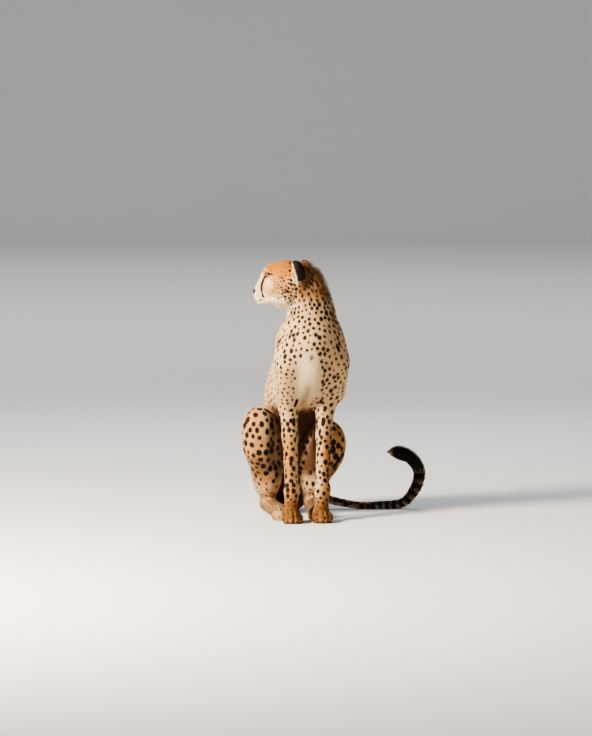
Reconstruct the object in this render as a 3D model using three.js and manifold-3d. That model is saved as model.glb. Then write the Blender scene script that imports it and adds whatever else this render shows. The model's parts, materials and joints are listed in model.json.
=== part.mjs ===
// A young adult cheetah sitting upright, life size, as a museum shows one.
// The head is turned over its right shoulder and the tail lies round to its left, tip curled up.
//
// Units are millimetres. +Z is up, the chest faces -Y, and the animal's left side is +X.
// Every outline is drawn out to the tips of the coat.
//
// The body is one soft form: bones and muscles are blended into a distance field, the field is
// turned into a faceted solid, and flat blocks part it where a person would name its parts.

import * as THREE from 'three';
import { mergeVertices } from 'three/addons/utils/BufferGeometryUtils.js';
import Module from 'manifold-3d';

const wasm = await Module();
wasm.setup();

// ---------------------------------------------------------------- driving dimensions

const GAP = 0.3; // clearance between touching parts
const EAR_GAP = 0.8; // and between the soft foot of an ear and the head
const ORIGIN = new THREE.Vector3(148, 177, 0); // centre of the footprint, in body coordinates

const CHEST_X = 12; // the chest and shoulders sit a little to the animal's left
const PELVIS_X = -15; // and the pelvis a little to its right
const WITHERS = [50, 700]; // y and z of the top of the shoulders
const RUMP = [438, 150]; // y and z of the back of the rump

const NOSE_TIP = new THREE.Vector3(-187, 42, 805);
const FACING = new THREE.Vector3(-0.93, 0.37, 0).normalize(); // where the nose points
const HEAD_LEFT = new THREE.Vector3(FACING.y, FACING.x, 0).multiply(new THREE.Vector3(-1, 1, 1));
const UP = new THREE.Vector3(0, 0, 1);

const EYE_RADIUS = 13;
const EYE_PLACE = [63, 32.5, 61]; // behind the nose tip, to the side, above the nose tip
const ORBIT = [13, 12, 8.5]; // half depth, width and height of the hollow round the eye
const ORBIT_SHIFT = [9, 7]; // it lies this far before the eye and out from it
const NOSE_PAD = [9, 15, 10]; // half depth, width and height
const NOSE_PLACE = [7, 0, 2];
const EAR_PLACE = [172, 62, 71];
const EAR_SIZE = [26, 31, 47]; // half depth, half width, half height of the cup
const EAR_LEAN = { left: 0.34, right: 0.85 }; // how far each ear leans out: the right one is turned away
const EAR_FORWARD = 0.2; // how far the ears lean forward
const EAR_OPEN = 0.3; // how far out they face
const EAR_RIM = [8, 9]; // the wall left at the sides and at the top of the cup
const EAR_HOLLOW = [0.75, 0.95]; // the hollow's shift forward and its depth, in half depths of the ear

const ELBOW_Z = 400;
const LEG_TOP = 352; // where the foreleg parts from the trunk
const FOREPAW_Y = -26;
const FOREPAW_HALF = [34, 46, 27]; // half width, length and height
const FOREPAW_SPREAD = 16.5; // from toe to toe
const HINDPAW_X = 64; // from the middle of the pelvis
const HINDPAW_Y = 100;
const HINDPAW_HALF = [31, 46, 25];
const HINDPAW_SPREAD = 15;
const CLAW_LENGTH = 15;
const CLAW_RADIUS = 3.2;

const TAIL_SIDES = 10;

// How soft the dip is between neighbouring forms.
const SOFT = {
  trunk: 24, neck: 30, head: 16, orbit: 9, upperArm: 30, forearm: 14, elbow: 20, hindleg: 22, paw: 7,
};
const SOFT_COLLAR = 36; // between trunk and neck
const SOFT_NAPE = 24; // between neck and head
const SOFT_LIMBS = [3, 40]; // between a limb and the trunk: lying against it low down, melting in above

// The cells each part is faceted with, and the triangles it is thinned to.
const CELL = { head: 9.5, ear: 5.6, neck: 15, trunk: 19, foreleg: 11.5, hindleg: 17 };
const WANTED = { head: 2100, ear: 260, neck: 1100, trunk: 3000, foreleg: 860, hindleg: 1000 };
const EVENNESS = 2e-3; // how much a short edge is preferred for thinning over a flat one
const LEAST_TURN = 0.3; // the cosine of the furthest a face may turn when a corner is merged

// ---------------------------------------------------------------- fields

// A point of the head: behind the nose tip, to the animal's left of it, above it.
function headPoint(back, left, up) {
  return NOSE_TIP.clone()
    .addScaledVector(FACING, -back)
    .addScaledVector(HEAD_LEFT, left)
    .addScaledVector(UP, up);
}

// Signed distance to a limb from a to b. Each radius is a number or [wide, deep], where the
// deep way is the part of `deepWay` square to the limb. An egg shape is narrower against it.
function limb(a, b, radiusA, radiusB, deepWay = [0, 1, 0], egg = 0) {
  const start = new THREE.Vector3(...a);
  const along = new THREE.Vector3(...b).sub(start);
  const length = along.length() || 1;
  along.normalize();
  const deep = new THREE.Vector3(...deepWay).projectOnPlane(along).normalize();
  const wide = new THREE.Vector3().crossVectors(along, deep);
  const [wideA, deepA] = [radiusA, radiusA].flat().slice(0, 2);
  const [wideB, deepB] = [radiusB, radiusB].flat().slice(0, 2);
  return (x, y, z) => {
    const dx = x - start.x;
    const dy = y - start.y;
    const dz = z - start.z;
    const run = dx * along.x + dy * along.y + dz * along.z;
    const t = Math.min(1, Math.max(0, run / length));
    const rw = wideA + (wideB - wideA) * t;
    const rd = deepA + (deepB - deepA) * t;
    const end = run - t * length;
    const d = (dx * deep.x + dy * deep.y + dz * deep.z) / rd;
    const breadth = rw * (1 + egg * Math.max(-1, Math.min(1, d)));
    const w = (dx * wide.x + dy * wide.y + dz * wide.z) / breadth;
    const cap = Math.min(rw, rd);
    return roundness(w, d, end / cap, breadth, rd, cap);
  };
}

// Signed distance to an ellipsoid with its radii along three axes.
function ball(centre, radii, axes = [new THREE.Vector3(1, 0, 0), new THREE.Vector3(0, 1, 0), UP]) {
  const c = Array.isArray(centre) ? new THREE.Vector3(...centre) : centre;
  const [along, across, over] = axes;
  const [rx, ry, rz] = radii;
  return (x, y, z) => {
    const [dx, dy, dz] = [x - c.x, y - c.y, z - c.z];
    const u = (dx * along.x + dy * along.y + dz * along.z) / rx;
    const v = (dx * across.x + dy * across.y + dz * across.z) / ry;
    const w = (dx * over.x + dy * over.y + dz * over.z) / rz;
    return roundness(u, v, w, rx, ry, rz);
  };
}

// Near-exact distance for a point given in units of the three radii.
function roundness(u, v, w, ru, rv, rw) {
  const unit = Math.hypot(u, v, w);
  const slope = Math.hypot(u / ru, v / rv, w / rw);
  return slope > 1e-9 ? (unit * (unit - 1)) / slope : -Math.min(ru, rv, rw);
}

function smoothMin(a, b, soft) {
  const h = Math.max(soft - Math.abs(a - b), 0) / soft;
  return Math.min(a, b) - (h * h * soft) / 4;
}

// Forms blended one after another, each with its own softness.
function blend(soft, forms) {
  return (x, y, z) => forms.reduce((d, form) => smoothMin(d, form(x, y, z), soft), 1e3);
}

// From 0 to 1 with soft ends, as the value goes from one number to another.
function ramp(from, to, value) {
  const t = Math.min(1, Math.max(0, (value - from) / (to - from)));
  return t * t * (3 - 2 * t);
}

function mix([low, high], share) {
  return low + (high - low) * share;
}

// ---------------------------------------------------------------- trunk and neck

// Sections of the trunk from shoulders to rump: [x, top y, top z, bottom y, bottom z, half width].
const TRUNK_SECTIONS = [
  [CHEST_X, WITHERS[0] - 10, WITHERS[1] - 5, -112, 575, 90],
  [CHEST_X, WITHERS[0] + 62, WITHERS[1] - 42, -74, 490, 100],
  [CHEST_X - 3, WITHERS[0] + 140, WITHERS[1] - 108, 22, 424, 106],
  [0, WITHERS[0] + 218, WITHERS[1] - 196, 112, 374, 106],
  [-8, WITHERS[0] + 288, WITHERS[1] - 300, 180, 290, 98],
  [PELVIS_X, WITHERS[0] + 345, WITHERS[1] - 415, 236, 180, 92],
  [PELVIS_X, RUMP[0] - 12, RUMP[1] + 32, 296, 85, 84],
];
const TRUNK_LINKS = 20;
const KEEL = 0.2; // how much narrower the trunk is along the breast and belly than along the back

// The tail's middle line, from inside the rump to the tip: [x, y, z, radius].
const TAIL_LINE = [
  [PELVIS_X + 2, 398, 118, 44],
  [2, 452, 78, 27],
  [60, 472, 54, 21],
  [154, 440, 33, 17],
  [253, 408, 13.6, 14.5],
  [340, 398, 14.4, 15.2],
  [418, 397, 21, 18],
  [464, 399, 70, 21],
  [480, 401, 128, 24],
  [456, 403, 176, 27],
  [412, 405, 201, 27],
  [374, 406, 205, 10],
];

function smoothLine(points) {
  return new THREE.CatmullRomCurve3(points.map((p) => new THREE.Vector3(...p)), false, 'catmullrom');
}

function trunkForm() {
  const tops = smoothLine(TRUNK_SECTIONS.map(([x, y, z]) => [x, y, z]));
  const bottoms = smoothLine(TRUNK_SECTIONS.map(([x, , , y, z]) => [x, y, z]));
  const widths = smoothLine(TRUNK_SECTIONS.map((section) => [section[5], 0, 0]));
  const sectionAt = (i) => {
    const top = tops.getPoint(i / TRUNK_LINKS);
    const bottom = bottoms.getPoint(i / TRUNK_LINKS);
    return {
      centre: top.clone().add(bottom).multiplyScalar(0.5).toArray(),
      half: [widths.getPoint(i / TRUNK_LINKS).x, top.distanceTo(bottom) / 2],
      deepWay: top.sub(bottom).toArray(),
    };
  };
  const links = [];
  for (let i = 0; i < TRUNK_LINKS; i += 1) {
    const [near, far] = [sectionAt(i), sectionAt(i + 1)];
    links.push(limb(near.centre, far.centre, near.half, far.half, near.deepWay, KEEL));
  }
  const seat = ball([PELVIS_X, 362, 90], [94, 72, 94]);
  const [[...inside], [...outside]] = TAIL_LINE;
  const tailRoot = limb(inside.slice(0, 3), outside.slice(0, 3), inside[3], outside[3]);
  return blend(SOFT.trunk, [...links, seat, tailRoot]);
}

const neckForm = blend(SOFT.neck, [
  limb([CHEST_X, -20, 630], [CHEST_X - 2, -10, 728], [104, 88], [80, 74]),
  limb([CHEST_X - 2, -10, 728], [0, -14, 800], [80, 74], [64, 64]),
  limb([0, -14, 800], [-2, -12, 852], [64, 64], [52, 54]),
  limb([CHEST_X + 4, -30, 770], [CHEST_X, -62, 640], 46, 60), // front of the throat
]);

// ---------------------------------------------------------------- head

function headForm() {
  const axes = [FACING, HEAD_LEFT, UP];
  const lump = (back, left, up, radii) => ball(headPoint(back, left, up), radii, axes);
  const bar = (from, to, radiusA, radiusB) =>
    limb(headPoint(...from).toArray(), headPoint(...to).toArray(), radiusA, radiusB, [0, 0, 1]);
  const paired = [];
  for (const side of [1, -1]) {
    paired.push(
      lump(26, 13 * side, -12, [19, 15, 15]), // whisker pad
      lump(59, 28 * side, 79, [17, 15, 9]), // brow
      lump(47, 16 * side, 22, [24, 17, 27]), // between nose and cheek
      lump(86, 34 * side, 20, [38, 25, 36]), // cheek
      lump(122, 40 * side, 4, [34, 24, 46]), // cheek ruff
      bar([32, 8 * side, -27], [98, 28 * side, -14], 13, 22), // jaw
    );
  }
  const flesh = blend(SOFT.head, [
    lump(122, 0, 48, [80, 60, 66]), // skull
    lump(150, 0, 28, [52, 58, 58]), // back of the head
    lump(174, 0, 69, [40, 44, 43]), // crest of the nape
    lump(72, 0, 60, [38, 38, 40]), // forehead
    bar([44, 0, 52], [13, 0, 10], [19, 18], [12, 9]), // bridge of the nose
    lump(33, 0, -9, [28, 25, 21]), // muzzle
    lump(34, 0, -30, [19, 15, 13]), // chin
    lump(108, 0, -28, [42, 36, 30]), // throat
    ...paired,
  ]);
  const [right, left] = [-1, 1].map((side) =>
    lump(EYE_PLACE[0] - ORBIT_SHIFT[0], (EYE_PLACE[1] + ORBIT_SHIFT[1]) * side, EYE_PLACE[2], ORBIT));
  return (x, y, z) => -smoothMin(-flesh(x, y, z), Math.min(right(x, y, z), left(x, y, z)), SOFT.orbit);
}

const headField = headForm();

// An upright cup, hollowed from the front, that stops just short of the head.
function earForm(name, side) {
  const outward = HEAD_LEFT.clone().multiplyScalar(side);
  const rise = UP.clone().addScaledVector(outward, EAR_LEAN[name]).addScaledVector(FACING, EAR_FORWARD);
  rise.normalize();
  const open = FACING.clone().addScaledVector(outward, EAR_OPEN).projectOnPlane(rise).normalize();
  const axes = [open, new THREE.Vector3().crossVectors(rise, open), rise];
  const centre = headPoint(EAR_PLACE[0], EAR_PLACE[1] * side, EAR_PLACE[2]);
  const [deep, wide, high] = EAR_SIZE;
  const cup = ball(centre, EAR_SIZE, axes);
  const hollow = ball(
    centre.clone().addScaledVector(open, EAR_HOLLOW[0] * deep),
    [EAR_HOLLOW[1] * deep, wide - EAR_RIM[0], high - EAR_RIM[1]],
    axes,
  );
  return (x, y, z) => Math.max(cup(x, y, z), -hollow(x, y, z), EAR_GAP - body(x, y, z));
}

// ---------------------------------------------------------------- legs

// Each side's places across the body, worked out from the chest and pelvis.
const SIDES = {
  left: {
    sign: 1, shoulder: 99, triceps: 107, elbow: 71, forearm: 64, wrist: 53, forepaw: 44,
    knee: 119, kneeZ: 264,
  },
  right: {
    sign: -1, shoulder: -80, triceps: -71, elbow: -58, forearm: -57, wrist: -56, forepaw: -62,
    knee: 130, kneeZ: 316,
  },
};

const TOES = [-1.5, -0.5, 0.5, 1.5]; // places across a paw, in toe spreads
const TOE_LENGTH = 22;

// How far forward a toe's ball lies: the inner two lead.
function toeY(y, long, toe) {
  return y - long * (Math.abs(toe) < 1 ? 0.62 : 0.42);
}

function paw(x, y, [wide, long, high], spread) {
  const pad = ball([x, y, high - 2], [wide - 3, long, high]);
  const toes = TOES.map((toe) =>
    ball([x + toe * spread, toeY(y, long, toe), high * 0.58], [spread * 0.72, TOE_LENGTH, high * 0.66]));
  return blend(SOFT.paw, [pad, ...toes]);
}

function forelegForm({ sign, shoulder, triceps, elbow, forearm, wrist, forepaw }) {
  const point = shoulder - sign * 2;
  const upper = blend(SOFT.upperArm, [
    limb([shoulder - sign * 12, 34, 645], [point, -28, 560], [32, 62], [38, 52]), // shoulder blade
    limb([point, -28, 560], [elbow, 60, ELBOW_Z], [40, 54], [33, 36]), // upper arm
    limb([point + sign * 4, 22, 520], [triceps, 64, ELBOW_Z + 50], [42, 56], [36, 44]), // triceps
  ]);
  const lower = blend(SOFT.forearm, [
    limb([elbow, 60, ELBOW_Z], [forearm, 40, 300], [34, 38], [28, 32]),
    limb([forearm, 40, 300], [wrist, 12, 118], [28, 32], [24, 25]),
    ball([wrist, 8, 112], [27, 28, 30]),
    limb([wrist, 8, 112], [forepaw, -12, 34], [25, 25], [27, 24]), // pastern
    paw(forepaw, FOREPAW_Y, FOREPAW_HALF, FOREPAW_SPREAD),
  ]);
  return (x, y, z) => smoothMin(upper(x, y, z), lower(x, y, z), SOFT.elbow);
}

function hindlegForm({ sign, knee, kneeZ }) {
  const across = (distance) => PELVIS_X + sign * distance;
  const drop = kneeZ - 300; // how much higher or lower the knee is than a level one
  const thighEnd = [across(knee - 7), 215, 268 + drop];
  return blend(SOFT.hindleg, [
    limb([across(70), 335, 190], thighEnd, [60, 108], [60, 98], [0, 0.5, 1]), // thigh
    ball([across(knee), 170, kneeZ - 5], [63, 62, 84]), // knee
    limb([across(knee - 2), 182, 240 + drop / 2], [across(78), 298, 74], [54, 62], [30, 38]), // shank
    ball([across(84), 272, 150], [52, 92, 92]), // haunch
    limb([across(80), 318, 38], [across(66), 128, 28], [26, 31], [26, 26], [0, 0, 1]), // metatarsus
    paw(across(HINDPAW_X), HINDPAW_Y, HINDPAW_HALF, HINDPAW_SPREAD),
  ]);
}

const trunkField = trunkForm();
const foreFields = { left: forelegForm(SIDES.left), right: forelegForm(SIDES.right) };
const hindFields = { left: hindlegForm(SIDES.left), right: hindlegForm(SIDES.right) };

// The whole coat-covered body. Low down, the limbs only lie against each other.
function body(x, y, z) {
  let d = smoothMin(trunkField(x, y, z), neckForm(x, y, z), SOFT_COLLAR);
  d = smoothMin(d, headField(x, y, z), SOFT_NAPE);
  const shoulderSoft = mix(SOFT_LIMBS, ramp(ELBOW_Z - 50, ELBOW_Z + 50, z));
  const haunchSoft = mix(SOFT_LIMBS, ramp(110, 190, z) * ramp(120, 210, y));
  for (const side of ['left', 'right']) {
    d = smoothMin(d, hindFields[side](x, y, z), haunchSoft);
    d = smoothMin(d, foreFields[side](x, y, z), shoulderSoft);
  }
  return d;
}

// ---------------------------------------------------------------- faceting

// Grid lines from a list of [from, to, step].
function gridLines(...spans) {
  const lines = [];
  for (const [from, to, step] of spans) {
    const count = Math.max(1, Math.round((to - from) / step));
    for (let i = lines.length ? 1 : 0; i <= count; i += 1) lines.push(from + ((to - from) * i) / count);
  }
  return lines;
}

const CORNERS = [0, 1, 2, 3, 4, 5, 6, 7].map((n) => [n & 1, (n >> 1) & 1, (n >> 2) & 1]);
const EDGES = [];
for (let a = 0; a < 8; a += 1) {
  for (const bit of [1, 2, 4]) if (!(a & bit)) EDGES.push([a, a | bit]);
}
const FACES = [1, 2, 4].flatMap((bit) => [0, bit].map((value) => {
  const corners = [0, 1, 2, 3, 4, 5, 6, 7].filter((n) => (n & bit) === value);
  return EDGES.map((edge, i) => [edge, i]).filter(([edge]) => edge.every((n) => corners.includes(n)));
}));

// Groups a cell's crossed edges into the separate sheets of surface that pass through it.
function sheets(inside) {
  const crossed = EDGES.map(([a, b]) => inside[a] !== inside[b]);
  const group = EDGES.map((_, i) => i);
  const find = (i) => (group[i] === i ? i : find(group[i]));
  for (const face of FACES) {
    const here = face.filter(([, i]) => crossed[i]);
    if (here.length === 2) group[find(here[0][1])] = find(here[1][1]);
    if (here.length === 4) {
      for (let corner = 0; corner < 8; corner += 1) {
        const pair = here.filter(([edge]) => edge.includes(corner));
        if (inside[corner] && pair.length === 2) group[find(pair[0][1])] = find(pair[1][1]);
      }
    }
  }
  return EDGES.map((_, i) => (crossed[i] ? find(i) : -1));
}

// Pulls a point onto the field's surface, by no more than `reach` in all.
function settle(field, p, reach) {
  const start = p.clone();
  const h = 0.5;
  for (let step = 0; step < 3; step += 1) {
    const d = field(p.x, p.y, p.z);
    const slope = new THREE.Vector3(
      field(p.x + h, p.y, p.z) - field(p.x - h, p.y, p.z),
      field(p.x, p.y + h, p.z) - field(p.x, p.y - h, p.z),
      field(p.x, p.y, p.z + h) - field(p.x, p.y, p.z - h),
    ).divideScalar(2 * h);
    p.addScaledVector(slope, -d / Math.max(slope.lengthSq(), 0.25));
  }
  return start.add(p.sub(start).clampLength(0, reach));
}

// The error of moving a corner: the squared distances to the planes of the faces it has served.
class PlaneErrors {
  constructor() {
    this.sums = new Float64Array(10);
  }

  addPlane(n, d, weight) {
    const terms = [n.x, n.y, n.z, d];
    let index = 0;
    for (let row = 0; row < 4; row += 1) {
      for (let column = row; column < 4; column += 1) {
        this.sums[index] += weight * terms[row] * terms[column];
        index += 1;
      }
    }
  }

  join(other) {
    const both = new PlaneErrors();
    both.sums = this.sums.map((value, i) => value + other.sums[i]);
    return both;
  }

  at({ x, y, z }) {
    const [xx, xy, xz, xd, yy, yz, yd, zz, zd, dd] = this.sums;
    return xx * x * x + yy * y * y + zz * z * z + dd
      + 2 * (xy * x * y + xz * x * z + yz * y * z + xd * x + yd * y + zd * z);
  }
}

// Merges the least needed corners until `wanted` triangles are left.
function thin(field, points, triangles, wanted) {
  const corners = [];
  for (let t = 0; t < triangles.length; t += 3) corners.push(triangles.slice(t, t + 3));
  const faces = points.map(() => new Set());
  const errors = points.map(() => new PlaneErrors());
  const normal = ([a, b, c]) => new THREE.Vector3().subVectors(points[b], points[a])
    .cross(new THREE.Vector3().subVectors(points[c], points[a]));
  corners.forEach((face, t) => {
    const n = normal(face);
    const area = n.length() / 2;
    n.normalize();
    for (const v of face) {
      faces[v].add(t);
      errors[v].addPlane(n, -n.dot(points[face[0]]), area);
    }
  });
  const version = points.map(() => 0);
  const neighbours = (v) => new Set([...faces[v]].flatMap((t) => corners[t]).filter((n) => n !== v));
  let queue = [];
  const offer = (a, b) => {
    const both = errors[a].join(errors[b]);
    const span = points[a].distanceTo(points[b]);
    for (const share of [0.5, 0, 1]) {
      const place = points[a].clone().lerp(points[b], share);
      const cost = both.at(place) + EVENNESS * span * span;
      if (share === 0.5 || cost < queue.at(-1).cost) {
        if (share !== 0.5) queue.pop();
        queue.push({ a, b, place, cost, span, stamp: version[a] + version[b] });
      }
    }
  };
  points.forEach((_, a) => neighbours(a).forEach((b) => { if (a < b) offer(a, b); }));
  let left = corners.length;
  while (left > wanted && queue.length) {
    queue.sort((p, q) => p.cost - q.cost);
    const later = [];
    const touched = new Set();
    for (const edge of queue) {
      const { a, b, place, stamp } = edge;
      if (!faces[a] || !faces[b] || stamp !== version[a] + version[b]) continue;
      if (left <= wanted || touched.has(a) || touched.has(b) || touched.size > points.length / 6) {
        later.push(edge);
        continue;
      }
      const shared = [...faces[a]].filter((t) => faces[b].has(t));
      const common = [...neighbours(a)].filter((n) => neighbours(b).has(n));
      const around = [...faces[a], ...faces[b]].filter((t) => !shared.includes(t));
      const turns = around.some((t) => {
        const before = normal(corners[t]);
        const moved = corners[t].map((v) => (v === a || v === b ? place : points[v]));
        const after = new THREE.Vector3().subVectors(moved[1], moved[0])
          .cross(new THREE.Vector3().subVectors(moved[2], moved[0]));
        return after.dot(before) < LEAST_TURN * after.length() * before.length();
      });
      if (shared.length !== 2 || common.length !== 2 || turns) continue;
      for (const t of shared) corners[t].forEach((v) => faces[v].delete(t));
      for (const t of faces[b]) {
        corners[t] = corners[t].map((v) => (v === b ? a : v));
        faces[a].add(t);
      }
      shared.forEach((t) => { corners[t] = null; });
      faces[b] = null;
      points[a] = place;
      errors[a] = errors[a].join(errors[b]);
      left -= 2;
      const ring = neighbours(a);
      for (const n of [a, ...ring]) {
        version[n] += 1;
        touched.add(n);
      }
    }
    queue = later;
    for (const a of touched) {
      if (faces[a]) neighbours(a).forEach((b) => offer(a, b));
    }
    if (!touched.size) break;
  }
  const reach = 0.5 * queue.reduce((sum, edge) => sum + edge.span, 0) / Math.max(queue.length, 1);
  points.forEach((p, v) => { if (faces[v]) points[v] = settle(field, p, reach); });
  const order = new Map();
  const kept = corners.filter(Boolean).flat();
  kept.forEach((v) => { if (!order.has(v)) order.set(v, order.size); });
  return solid([...order.keys()].flatMap((v) => points[v].toArray()), kept.map((v) => order.get(v)));
}

// A closed solid of everything inside the field, between the first and last grid lines.
function facet(field, xs, ys, zs, wanted) {
  const [nx, ny, nz] = [xs.length, ys.length, zs.length];
  const at = (i, j, k) => (k * ny + j) * nx + i;
  const value = new Float64Array(nx * ny * nz);
  for (let k = 0; k < nz; k += 1) {
    for (let j = 0; j < ny; j += 1) {
      for (let i = 0; i < nx; i += 1) {
        const rim = i === 0 || j === 0 || k === 0 || i === nx - 1 || j === ny - 1 || k === nz - 1;
        value[at(i, j, k)] = Math.max(field(xs[i], ys[j], zs[k]), rim ? 1 : -Infinity);
      }
    }
  }
  const points = [];
  const sheetPoint = new Map();
  for (let k = 0; k + 1 < nz; k += 1) {
    for (let j = 0; j + 1 < ny; j += 1) {
      for (let i = 0; i + 1 < nx; i += 1) {
        const values = CORNERS.map(([a, b, c]) => value[at(i + a, j + b, k + c)]);
        const inside = values.map((v) => v < 0);
        if (inside.every((v) => v === inside[0])) continue;
        const groups = sheets(inside);
        const reach = 0.6 * Math.min(xs[i + 1] - xs[i], ys[j + 1] - ys[j], zs[k + 1] - zs[k]);
        for (const name of new Set(groups.filter((g) => g >= 0))) {
          const mean = new THREE.Vector3();
          let count = 0;
          EDGES.forEach(([a, b], e) => {
            if (groups[e] !== name) return;
            const t = values[a] / (values[a] - values[b]);
            const place = (c, lines, base) =>
              lines[base + CORNERS[a][c]] * (1 - t) + lines[base + CORNERS[b][c]] * t;
            mean.add(new THREE.Vector3(place(0, xs, i), place(1, ys, j), place(2, zs, k)));
            count += 1;
            sheetPoint.set(at(i, j, k) * 12 + e, points.length);
          });
          points.push(settle(field, mean.divideScalar(count), reach));
        }
      }
    }
  }
  const triangles = [];
  const steps = [[1, 0, 0], [0, 1, 0], [0, 0, 1]];
  for (let k = 0; k + 1 < nz; k += 1) {
    for (let j = 0; j + 1 < ny; j += 1) {
      for (let i = 0; i + 1 < nx; i += 1) {
        steps.forEach((step, axis) => {
          if ([i, j, k].some((index, other) => other !== axis && index === 0)) return;
          const here = value[at(i, j, k)] < 0;
          const next = value[at(i + step[0], j + step[1], k + step[2])] < 0;
          if (here === next) return;
          const [u, v] = [steps[(axis + 1) % 3], steps[(axis + 2) % 3]];
          const ring = [[0, 0], [1, 0], [1, 1], [0, 1]].map(([p, q]) => {
            const back = [0, 1, 2].map((c) => p * u[c] + q * v[c]);
            const low = back[0] + 2 * back[1] + 4 * back[2];
            const edge = EDGES.findIndex(([a, b]) => a === low && b === (low | (1 << axis)));
            return sheetPoint.get(at(i - back[0], j - back[1], k - back[2]) * 12 + edge);
          });
          const [a, b, c, d] = here ? ring : [...ring].reverse();
          const short = points[a].distanceTo(points[c]) < points[b].distanceTo(points[d]);
          triangles.push(...(short ? [a, b, c, a, c, d] : [a, b, d, b, c, d]));
        });
      }
    }
  }
  return thin(field, points, triangles, wanted);
}

// ---------------------------------------------------------------- solids, joined and cut

function solid(positions, triangles) {
  return new wasm.Manifold(new wasm.Mesh({
    numProp: 3,
    vertProperties: Float32Array.from(positions),
    triVerts: Uint32Array.from(triangles),
  }));
}

function solidOf(geometry) {
  geometry.deleteAttribute('normal');
  geometry.deleteAttribute('uv');
  const merged = mergeVertices(geometry, 1e-3);
  return solid(merged.attributes.position.array, merged.index.array);
}

// A box from its low corner to its high one, grown all round by a margin.
function block(low, high, grow) {
  const size = [0, 1, 2].map((i) => high[i] - low[i] + 2 * grow);
  const box = new THREE.BoxGeometry(...size);
  box.translate(...[0, 1, 2].map((i) => (low[i] + high[i]) / 2));
  return solidOf(box);
}

// Everything on the far side of a plane, as a box big enough for any part.
function beyond(point, normal, shift) {
  const size = 1600;
  const box = new THREE.BoxGeometry(size, size, size);
  box.translate(0, 0, size / 2 + shift);
  box.applyQuaternion(new THREE.Quaternion().setFromUnitVectors(UP, normal.clone().normalize()));
  box.translate(point.x, point.y, point.z);
  return solidOf(box);
}

const HALF_GAP = GAP / 2;

// Where the neck meets the head, and the trunk the neck.
const NAPE = {
  point: headPoint(150, 0, -22),
  normal: FACING.clone().multiplyScalar(0.55).addScaledVector(UP, 0.83),
};
const COLLAR = { point: new THREE.Vector3(0, -30, 682), normal: new THREE.Vector3(0, -0.33, 0.94) };

// The blocks that part each leg from the trunk, one for the leg and one for its foot: how far they
// reach out from a middle line, and their spans of y and z.
function legCuts(kneeZ) {
  const sunk = -50;
  return {
    foreleg: [
      { middle: CHEST_X / 2, out: [0, 122], y: [-120, 99], z: [100, LEG_TOP] },
      { middle: CHEST_X / 2, out: [0, 122], y: [-120, 38], z: [sunk, 101] },
    ],
    hindleg: [
      { middle: PELVIS_X, out: [70, 260], y: [99 + GAP, 600], z: [96, kneeZ + 86] },
      { middle: PELVIS_X, out: [8, 260], y: [40, 276], z: [sunk, 97] },
    ],
  };
}

function legBlock(side, leg, grow) {
  const { sign, kneeZ } = SIDES[side];
  const blocks = legCuts(kneeZ)[leg].map(({ middle, out, y, z }) => {
    const x = out.map((distance) => middle + sign * distance).sort((a, b) => a - b);
    return block([x[0], y[0], z[0]], [x[1], y[1], z[1]], grow);
  });
  return blocks[0].add(blocks[1]);
}

const aboveFloor = block([-1000, -1000, 0], [1000, 1000, 2000], 0);

// ---------------------------------------------------------------- materials

const finish = (color, roughness) => new THREE.MeshStandardMaterial({ color, roughness, metalness: 0 });
const COAT = finish('#c79a5e', 0.9);
const FACE = finish('#d9913f', 0.9);
const DARK = finish('#1a1411', 0.9);
const EYE = finish('#5a3512', 0.15);
const NOSE = finish('#120d0b', 0.5);
const CLAW = finish('#2a211b', 0.4);

const cheetah = new THREE.Group();
cheetah.name = 'cheetah';

function place(name, body, material) {
  const mesh = body.getMesh();
  const geometry = new THREE.BufferGeometry();
  geometry.setAttribute('position', new THREE.BufferAttribute(mesh.vertProperties, 3));
  geometry.setIndex(new THREE.BufferAttribute(mesh.triVerts, 1));
  geometry.translate(-ORIGIN.x, -ORIGIN.y, -ORIGIN.z);
  geometry.computeVertexNormals();
  const part = new THREE.Mesh(geometry, material);
  part.name = name;
  cheetah.add(part);
}

// ---------------------------------------------------------------- claws

const CLAW_AHEAD = 17; // how far a claw's middle lies before its toe's
const CLAW_DROP = 0.35; // how steeply it points down, in radians
const CLAW_SIDES = 7;

// A claw points forward and down out of each toe.
function claws(name, x, y, [, long, high], spread) {
  return TOES.map((toe, n) => {
    const make = (extra) => {
      const cone = new THREE.ConeGeometry(CLAW_RADIUS + extra, CLAW_LENGTH + 2 * extra, CLAW_SIDES);
      cone.rotateX(Math.PI / 2 + CLAW_DROP);
      cone.rotateZ(Math.PI);
      cone.translate(x + toe * spread, toeY(y, long, toe) - CLAW_AHEAD, high * 0.42);
      return solidOf(cone);
    };
    return { name: `${name}_claw_${n + 1}`, claw: make(0), socket: make(GAP) };
  });
}

// ---------------------------------------------------------------- the parts

// Head, with the eyes in their sockets and the nose pad let in.
const headSpans = [[-230, 80], [-110, 150], [720, 940]];
let head = facet(body, ...headSpans.map((span) => gridLines([...span, CELL.head])), WANTED.head)
  .intersect(beyond(NAPE.point, NAPE.normal, HALF_GAP));

for (const [side, sign] of [['left', 1], ['right', -1]]) {
  const centre = headPoint(EYE_PLACE[0], EYE_PLACE[1] * sign, EYE_PLACE[2]);
  const sphere = (radius) =>
    solidOf(new THREE.SphereGeometry(radius, 12, 8).translate(...centre.toArray()));
  head = head.subtract(sphere(EYE_RADIUS + GAP));
  place(`eye_${side}`, sphere(EYE_RADIUS), EYE);
}

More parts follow.
